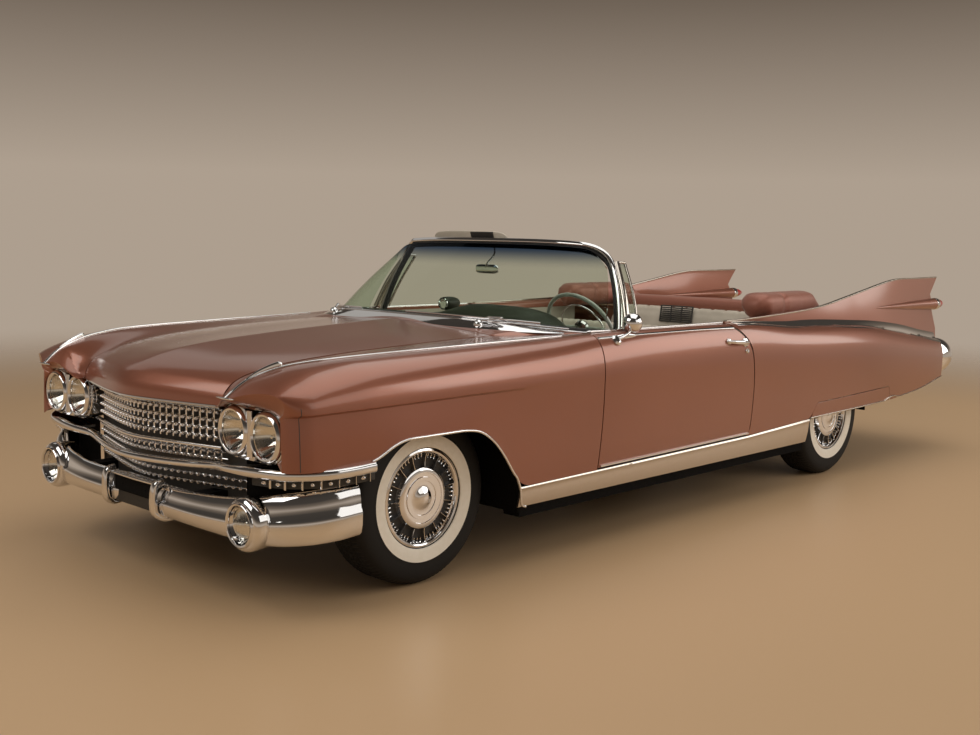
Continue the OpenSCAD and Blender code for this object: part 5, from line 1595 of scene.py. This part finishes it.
def dash_pad():
    """Padded top from the windshield's base to a rolled edge, with a hump over the instruments."""
    a = np.linspace(-70, 70, 101)[:, None]
    t = np.linspace(0, 1, 34)[None]
    far = base_at(a, 20)
    y = far[..., 1]
    driver = np.exp(-(((y - 425) / 300) ** 4))
    edge = DASH_FACE - 14 - 22 * driver
    x = mix(np.maximum(far[..., 0], edge + 40), edge, t)
    swell = np.sin(np.pi * t**0.85) ** 0.8 * ramp((780 - np.abs(y)) / 120)
    z = mix(far[..., 2] - 8, 900, t**2.2) + (26 + 66 * driver) * swell
    return Form().panel(xyz(x, y + 0 * t, z), (DASH_FACE + 200, 0, 500), 8)


def dash_face():
    y = np.linspace(-792, 792, 60)[:, None]
    profile = np.array([(0, 905), (-12, 880), (-10, 850), (4, 815), (28, 775), (66, 735), (110, 722)], float)
    x, z = smooth_path(profile, 24).T
    return Form().panel(xyz(DASH_FACE + x[None], y, z[None]), (FRONT_AXLE, 0, 850), 10)


def dash_fittings():
    form = Form()
    y = np.linspace(-760, 760, 40)
    for z, d in ((872, -13), (806, 6)):
        form.bar(xyz(DASH_FACE + d, y, z), oval(5, 8))
    for cy in (300, 460):
        form.turn([(56, 0), (58, 8), (50, 10), (46, 4), (0, 4)], (DASH_FACE - 8, cy, 842), (-1, 0, 0.15), 40)
    for cy in (-60, 0, 60, 150, -420):
        form.turn([(16, 0), (16, 12), (12, 16), (0, 18)], (DASH_FACE + 2, cy, 828), (-1, 0, 0.2), 20)
    return form


def light_eye():
    """Small bullet-shaped unit on top of the pad."""
    at = np.array([DASH_FACE + 128, -14, 1042.0])
    shell = [(0, -62), (12, -58), (24, -44), (31, -20), (33, 10), (32, 44), (29, 50)]
    form = Form().turn(shell, at, count=32)
    form.turn([(30, 44), (31, 52), (28, 56), (25, 48), (0, 46)], at, count=32, mark=1)
    return form.bar([at + (0, 0, -52), at + (0, 0, -24)], oval(60, 24, 16), (1, 0, 0))


light_eye().piece("light_eye", "root", "dash_paint", PAD, CHROME)
dash_pad().piece("dash_top_pad", "root", "dash_paint", PAD, sharp=50)
dash_face().piece("dash_panel", "root", "dash_paint", DASH, replaces=["dashboard"])
dash_fittings().piece("dash_fittings", "root", "chrome", CHROME)

# Steering wheel on its column
HUB = np.array([FRONT_AXLE - 1548, 380, 915.0])
SHAFT = np.array([-math.cos(math.radians(30)), 0, math.sin(math.radians(30))])
ACROSS = np.array([0.0, 1, 0])
UPWARD = np.cross(SHAFT, ACROSS)


def on_wheel(r, a, lift=0.0):
    a = np.asarray(a, float)
    spoke = np.cos(a)[..., None] * ACROSS + np.sin(a)[..., None] * UPWARD
    return HUB + np.asarray(r, float)[..., None] * spoke + lift * SHAFT


def steering_wheel():
    form = Form()
    a = np.linspace(0, 2 * np.pi, 96, endpoint=False)
    grip = 1 - 0.09 * (np.sin(a * 24) > 0.6)
    form.bar(on_wheel(205, a), oval(22, 22, 14, 1.0), SHAFT, scale=grip, closed=True)
    for side in (0, np.pi):
        r = np.linspace(30, 200, 14)
        form.bar(on_wheel(r, np.full(14, side), 4), oval(26, 14), SHAFT, scale=np.linspace(1.1, 0.8, 14))
    return form


def horn_ring():
    form = Form()
    a = np.linspace(np.pi * 1.02, np.pi * 1.98, 40)
    form.bar(on_wheel(132, a, 18), oval(8, 7), SHAFT)
    form.turn([(42, 0), (44, 14), (38, 24), (22, 30), (0, 32)], HUB, SHAFT, 32)
    for side in (0, np.pi):
        r = np.linspace(38, 134, 8)
        form.bar(on_wheel(r, np.full(8, side), 17), oval(9, 6), SHAFT)
    return form


def column():
    jacket = [(0, -30), (24, -30), (27, -36), (27, -70), (23, -80), (22, -230), (26, -240), (26, -330),
              (0, -330)]
    form = Form().turn(jacket, HUB, SHAFT, 32)
    for a, length in ((0.35, 120), (np.pi - 0.35, 95)):
        tip = on_wheel(length, np.array(a), -46)
        form.bar([HUB - 46 * SHAFT, mix(HUB - 46 * SHAFT, tip, 0.5), tip], oval(8, 8), SHAFT)
        form.turn([(0, -10), (9, -6), (9, 6), (0, 10)], tip, tip - HUB, 14)
    return form


steering_wheel().piece("steering_rim", "steering_wheel", "wheel_plastic", RIM, replaces=["steering_wheel"])
horn_ring().piece("horn_ring", "steering_wheel", "chrome", CHROME)
column().piece("column_jacket", "root", "dash_paint", DASH, replaces=["steering_column"])


# Inside mirror and sun visors
def inside_mirror():
    form = Form()
    head = top_at(np.array(0.0)) + (-14, 30, -14)
    glass = np.array([752.0, -56, 1209])
    stem = [head, mix(head, glass, 0.4) + (-12, 8, 0), glass + (12, 6, 22), glass + (6, 0, 0)]
    form.bar(smooth_path(stem, 16), oval(9, 9))
    u = np.linspace(-1, 1, 24)
    form.bar(xyz(glass[0], glass[1] + 80 * u, glass[2]), oval(26, 48, 20, 0.6),
             scale=np.sqrt(np.clip(1 - np.abs(u) ** 8, 0.12, 1)))
    return form


VISOR_Y, VISOR_HALF = -163, 265


def visors():
    form = Form()
    u = np.linspace(-1, 1, 40)
    round_end = np.sqrt(np.clip(1 - np.abs(u) ** 10, 0.08, 1))
    blade = xyz(772, VISOR_Y + VISOR_HALF * u, 1376 - 6 * u * u)
    form.bar(blade, oval(16, 62, 20, 0.55), (0.35, 0, 1), scale=round_end)
    u = np.linspace(-1, 1, 16)
    form.bar(xyz(783, -65 + 80 * u, 1386), oval(10, 30, 16, 0.4), (0.35, 0, 1), mark=1)
    for y in (VISOR_Y - 150, VISOR_Y + 150):
        form.bar([(792, y, 1350), (776, y, 1366)], oval(10, 10), (0, 1, 0), mark=2)
    return form


inside_mirror().piece("inside_mirror", "root", "chrome", CHROME)
visors().piece("sun_visor", "root", "seat_leather", HIDE, BLACK, CHROME)


# Carpet
def carpet():
    form = Form()
    for side in (-1, 1):
        x = np.linspace(REAR_AXLE + 390, FRONT_AXLE - 905, 40)[:, None]
        y = np.linspace(146, 862, 24)[None] * side
        top = xyz(x, y, 309 + 30 * ramp((x - FRONT_AXLE + 1130) / 220) ** 2)
        form.shell(top, top - (0, 0, 7))
    x = np.linspace(REAR_AXLE + 390, FRONT_AXLE - 905, 40)
    form.bar(xyz(x, 0, 406), oval(290, 16, 24, 0.35))
    return form


carpet().piece("carpet", "root", "black_steel", CARPET)

# Wheels
RIBS = 96
# Share of the sidewall's height, share of the half width, 1 where sipes cut in
TREAD = [(0.90, 0.80, 0), (0.955, 0.72, 1), (0.985, 0.62, 1), (1.0, 0.5, 1), (1.0, 0.42, 1),
         (0.972, 0.40, 0), (0.972, 0.36, 0), (1.0, 0.34, 1), (1.0, 0.17, 1), (0.972, 0.15, 0),
         (0.972, 0.11, 0), (1.0, 0.09, 1), (1.0, 0.0, 1)]
# Share of the sidewall's height, share of the half width
WALL = [(0.0, 0.70), (0.02, 0.80), (0.075, 0.90), (0.085, 0.935), (0.10, 0.945), (0.19, 0.972),
        (0.29, 0.988), (0.385, 0.997), (0.40, 1.0), (0.412, 0.994), (0.5, 0.995), (0.62, 0.985),
        (0.74, 0.955), (0.82, 0.91), (0.86, 0.87)]
WHITE_ROWS = range(2, 8)
BEAD_R = 189
SIPE = 6


def tyre(x, side):
    """Tyre with a white band, ribs round the tread and sipes across its shoulders."""
    rows = [(h, w, 0, k in WHITE_ROWS) for k, (h, w) in enumerate(WALL)]
    rows += [(h, w, cut, False) for h, w, cut in TREAD]
    rows += [(h, -w, cut, False) for h, w, cut, _ in rows[::-1][1:]]
    n = RIBS * 3
    a = np.linspace(0, 2 * np.pi, n, endpoint=False)
    slit = (np.arange(n) % 3 == 0).astype(float)
    r = np.array([mix(BEAD_R, TYRE_R, h) - SIPE * cut * slit for h, _, cut, _ in rows])
    y = np.array([side * (HALF_TRACK + w * TYRE_HALF_W) for _, w, _, _ in rows])
    grid = xyz(x + r * np.cos(a), y[:, None], TYRE_R + r * np.sin(a))
    form = Form()
    form.add(grid, grid_faces(len(rows), n, True, True))
    form.marks = [int(rows[i // n][3]) for i in range(len(form.faces))]
    return form


# Wheel and its cover: radius, height along the axle
COVER_EDGE = [(0, 106), (16, 104), (30, 100), (42, 93), (52, 91), (68, 91.5), (69, 94), (84, 94.5), (85, 91),
              (100, 91.5), (101, 94.5), (114, 94), (121, 90), (124, 78), (126, 72), (174, 72), (177, 78),
              (179, 88), (184, 94), (190, 96), (197, 94), (201, 88), (202, 80), (196, 74), (176, 70),
              (172, 40), (172, -80), (190, -90), (176, -70), (60, 0), (60, -66), (32, -66), (32, 0), (32, 60)]
VANES = 15


def wheel_cover(x, side):
    form = Form()
    centre = (x, side * HALF_TRACK, TYRE_R)
    recess = [int(125 < r < 175 and 70 < h < 75) for r, h in COVER_EDGE[:-1]]
    form.turn(COVER_EDGE, centre, (0, side, 0), 90, marks=recess)
    for k in range(VANES * 4):
        a = 2 * np.pi * k / (VANES * 4)
        spoke = np.array([math.cos(a), 0, math.sin(a)])
        major = k % 4 == 0
        r = np.array([123, 140, 160, 178]) if major else np.array([158, 165, 172, 178])
        h = np.array([88, 86, 87, 90]) - (0 if major else 6)
        path = np.asarray(centre) + r[:, None] * spoke + np.stack([0 * h, side * (h - 8), 0 * h], -1)
        form.bar(path, oval(4 if major else 6, 20, 8, 0.4), (0, 1, 0))
    return form


for end, x in (("front", FRONT_AXLE), ("rear", REAR_AXLE)):
    for hand, side in (("left", 1), ("right", -1)):
        place = f"{end}_{hand}"
        body = f"wheel_{place}"
        tyre(x, side).piece(f"tyre_tread_{place}", body, "tyre", RUBBER, WHITE, replaces=[f"tyre_{place}"])
        wheel_cover(x, side).piece(f"wheel_cover_{place}", body, "chrome", CHROME, BLACK, replaces=[body],
                                   sharp=30)

# Finishes of the carried-over pieces
NODE_FINISH = {
    SHADE: ["frame", "floor_pan", "inner_fenders", "wheelhouses", "crossmembers", "plate_brackets",
            "radiator"],
    BLACK: ["cowl_frame", "driveshaft", "fuel_tank", "door_hinges", "lid_hinges", "bulkhead"],
    CAST: ["rear_axle", "front_suspension", "knuckle_left", "knuckle_right"],
    PIPE: ["exhaust"], IRON: ["engine"]}
for finish, names in NODE_FINISH.items():
    for name in names:
        if name in frame["nodes"]:
            mesh = bpy.data.objects[name].data
            mesh.materials.clear()
            mesh.materials.append(finish)

# Floor, light and camera
FLOOR_TONE = (0.50, 0.345, 0.205)
WALL_TONE = (0.42, 0.345, 0.275)
FILL_TONE = (0.39, 0.335, 0.275)
LIGHT_TONE = (1, 0.96, 0.9)
FLOOR_REACH = 40.0
# Tone of the surroundings by height, from the horizon up
WALL_STOPS = [(0.0, WALL_TONE), (0.05, WALL_TONE), (0.19, (0.16, 0.125, 0.095)),
              (0.34, (0.055, 0.046, 0.038)), (1.0, (0.035, 0.03, 0.026))]
# Soft boxes: name, place, aim, size in metres and power in watts
SOFT_BOXES = [
    ("ceiling", (-0.6, 0.8, 6.0), (0.0, 0.0, 0.0), (8.0, 5.0), 170),
    ("far_strip", (-1.0, -5.5, 4.5), (0.0, 0.0, 0.6), (9.0, 2.0), 20),
    ("side", (-1.6, 8.0, 4.2), (-0.4, 0.0, 0.5), (8.0, 3.5), 95),
    ("rear_side", (-6.5, 6.0, 3.8), (-2.0, 0.6, 0.8), (7.0, 4.0), 190),
    ("front", (6.4, -1.0, 4.8), (4.4, -0.4, 0.0), (4.5, 3.5), 115)]


def seen(tree):
    """1 for rays from the camera, from gloss and through glass."""
    rays = Tone(tree).node("LightPath").socket.node.outputs
    shown = Tone(tree, rays["Is Camera Ray"])
    for kind in ("Is Glossy Ray", "Is Transmission Ray"):
        shown = shown.math("MAXIMUM", shown, Tone(tree, rays[kind]))
    return shown


def floor():
    """Polished floor that fades into the wall's tone far from the car."""
    mesh = bpy.data.meshes.new("floor")
    corners = [(FLOOR_REACH * x, FLOOR_REACH * y, 0) for x, y in ((-1, -1), (1, -1), (1, 1), (-1, 1))]
    mesh.from_pydata(corners, [], [(0, 1, 2, 3)])
    material, shader, at = surface("floor", Specular_IOR_Level=0.3)
    cloud = at.noise(0.5, 3.0)
    away = at.node("VectorMath", {"operation": "LENGTH"}, {0: at}, 1)
    at.join(shader.inputs["Base Color"], cloud.blend(FLOOR_TONE, tuple(1.06 * c for c in FLOOR_TONE)))
    at.join(shader.inputs["Roughness"], 0.36 + 0.1 * cloud)
    at.join(shader.inputs["Alpha"], 1.0 - away.between(4.5, 12.0))
    mesh.materials.append(material)
    plane = bpy.data.objects.new("floor", mesh)
    bpy.context.scene.collection.objects.link(plane)


def world():
    """Pale walls under a dark ceiling for what is seen, and an even fill for the rest."""
    sky = bpy.data.worlds.new("studio")
    bpy.context.scene.world = sky
    sky.use_nodes = True
    tree = sky.node_tree
    start = Tone(tree)
    height = start.node("TexCoord", out="Generated").part(2)
    shown = height.node("ValToRGB", {"stops": WALL_STOPS}, {0: height})
    color = seen(tree).blend(FILL_TONE, shown)
    back = tree.nodes["Background"]
    start.join(back.inputs["Color"], color)
    back.inputs["Strength"].default_value = 1.0


def stand(name, data, basis, place):
    """A light or camera put in the scene, its own axes given as columns."""
    item = bpy.data.objects.new(name, data)
    bpy.context.scene.collection.objects.link(item)
    item.matrix_world = Matrix([[*basis[i], place[i]] for i in range(3)] + [[0, 0, 0, 1]])
    return item


def soft_box(name, place, target, size, watts):
    light = bpy.data.lights.new(name, "AREA")
    light.shape = "RECTANGLE"
    light.size, light.size_y = size
    light.energy = watts
    light.color = LIGHT_TONE
    aim = unit(np.array(target) - np.array(place))
    side = unit(np.cross(aim, (0.0, 0.0, 1.0)))
    stand(name, light, np.stack([side, np.cross(side, aim), -aim], 1), place)


CAMERA_AT = np.array([5119.6, 4161.6, 1381.2])
YAW, PITCH_DOWN, ROLL = (math.radians(v) for v in (223.77, 6.46, 1.04))
PHOTO_W, FOCAL_PX, SENSOR = 980, 1164.3, 36


def camera():
    level = math.cos(PITCH_DOWN)
    ahead = np.array([math.cos(YAW) * level, math.sin(YAW) * level, -math.sin(PITCH_DOWN)])
    right = np.array([math.sin(YAW), -math.cos(YAW), 0])
    up = np.cross(right, ahead)
    turned = math.cos(ROLL) * right + math.sin(ROLL) * up
    raised = -math.sin(ROLL) * right + math.cos(ROLL) * up
    data = bpy.data.cameras.new("camera")
    data.sensor_fit = "HORIZONTAL"
    data.sensor_width = SENSOR
    data.lens = FOCAL_PX / PHOTO_W * SENSOR
    data.clip_end = 200
    basis = np.stack([turned, raised, -ahead], 1)
    bpy.context.scene.camera = stand("camera", data, basis, CAMERA_AT * MM)


floor()
world()
for box in SOFT_BOXES:
    soft_box(*box)
camera()
bpy.context.scene.view_settings.view_transform = "Standard"
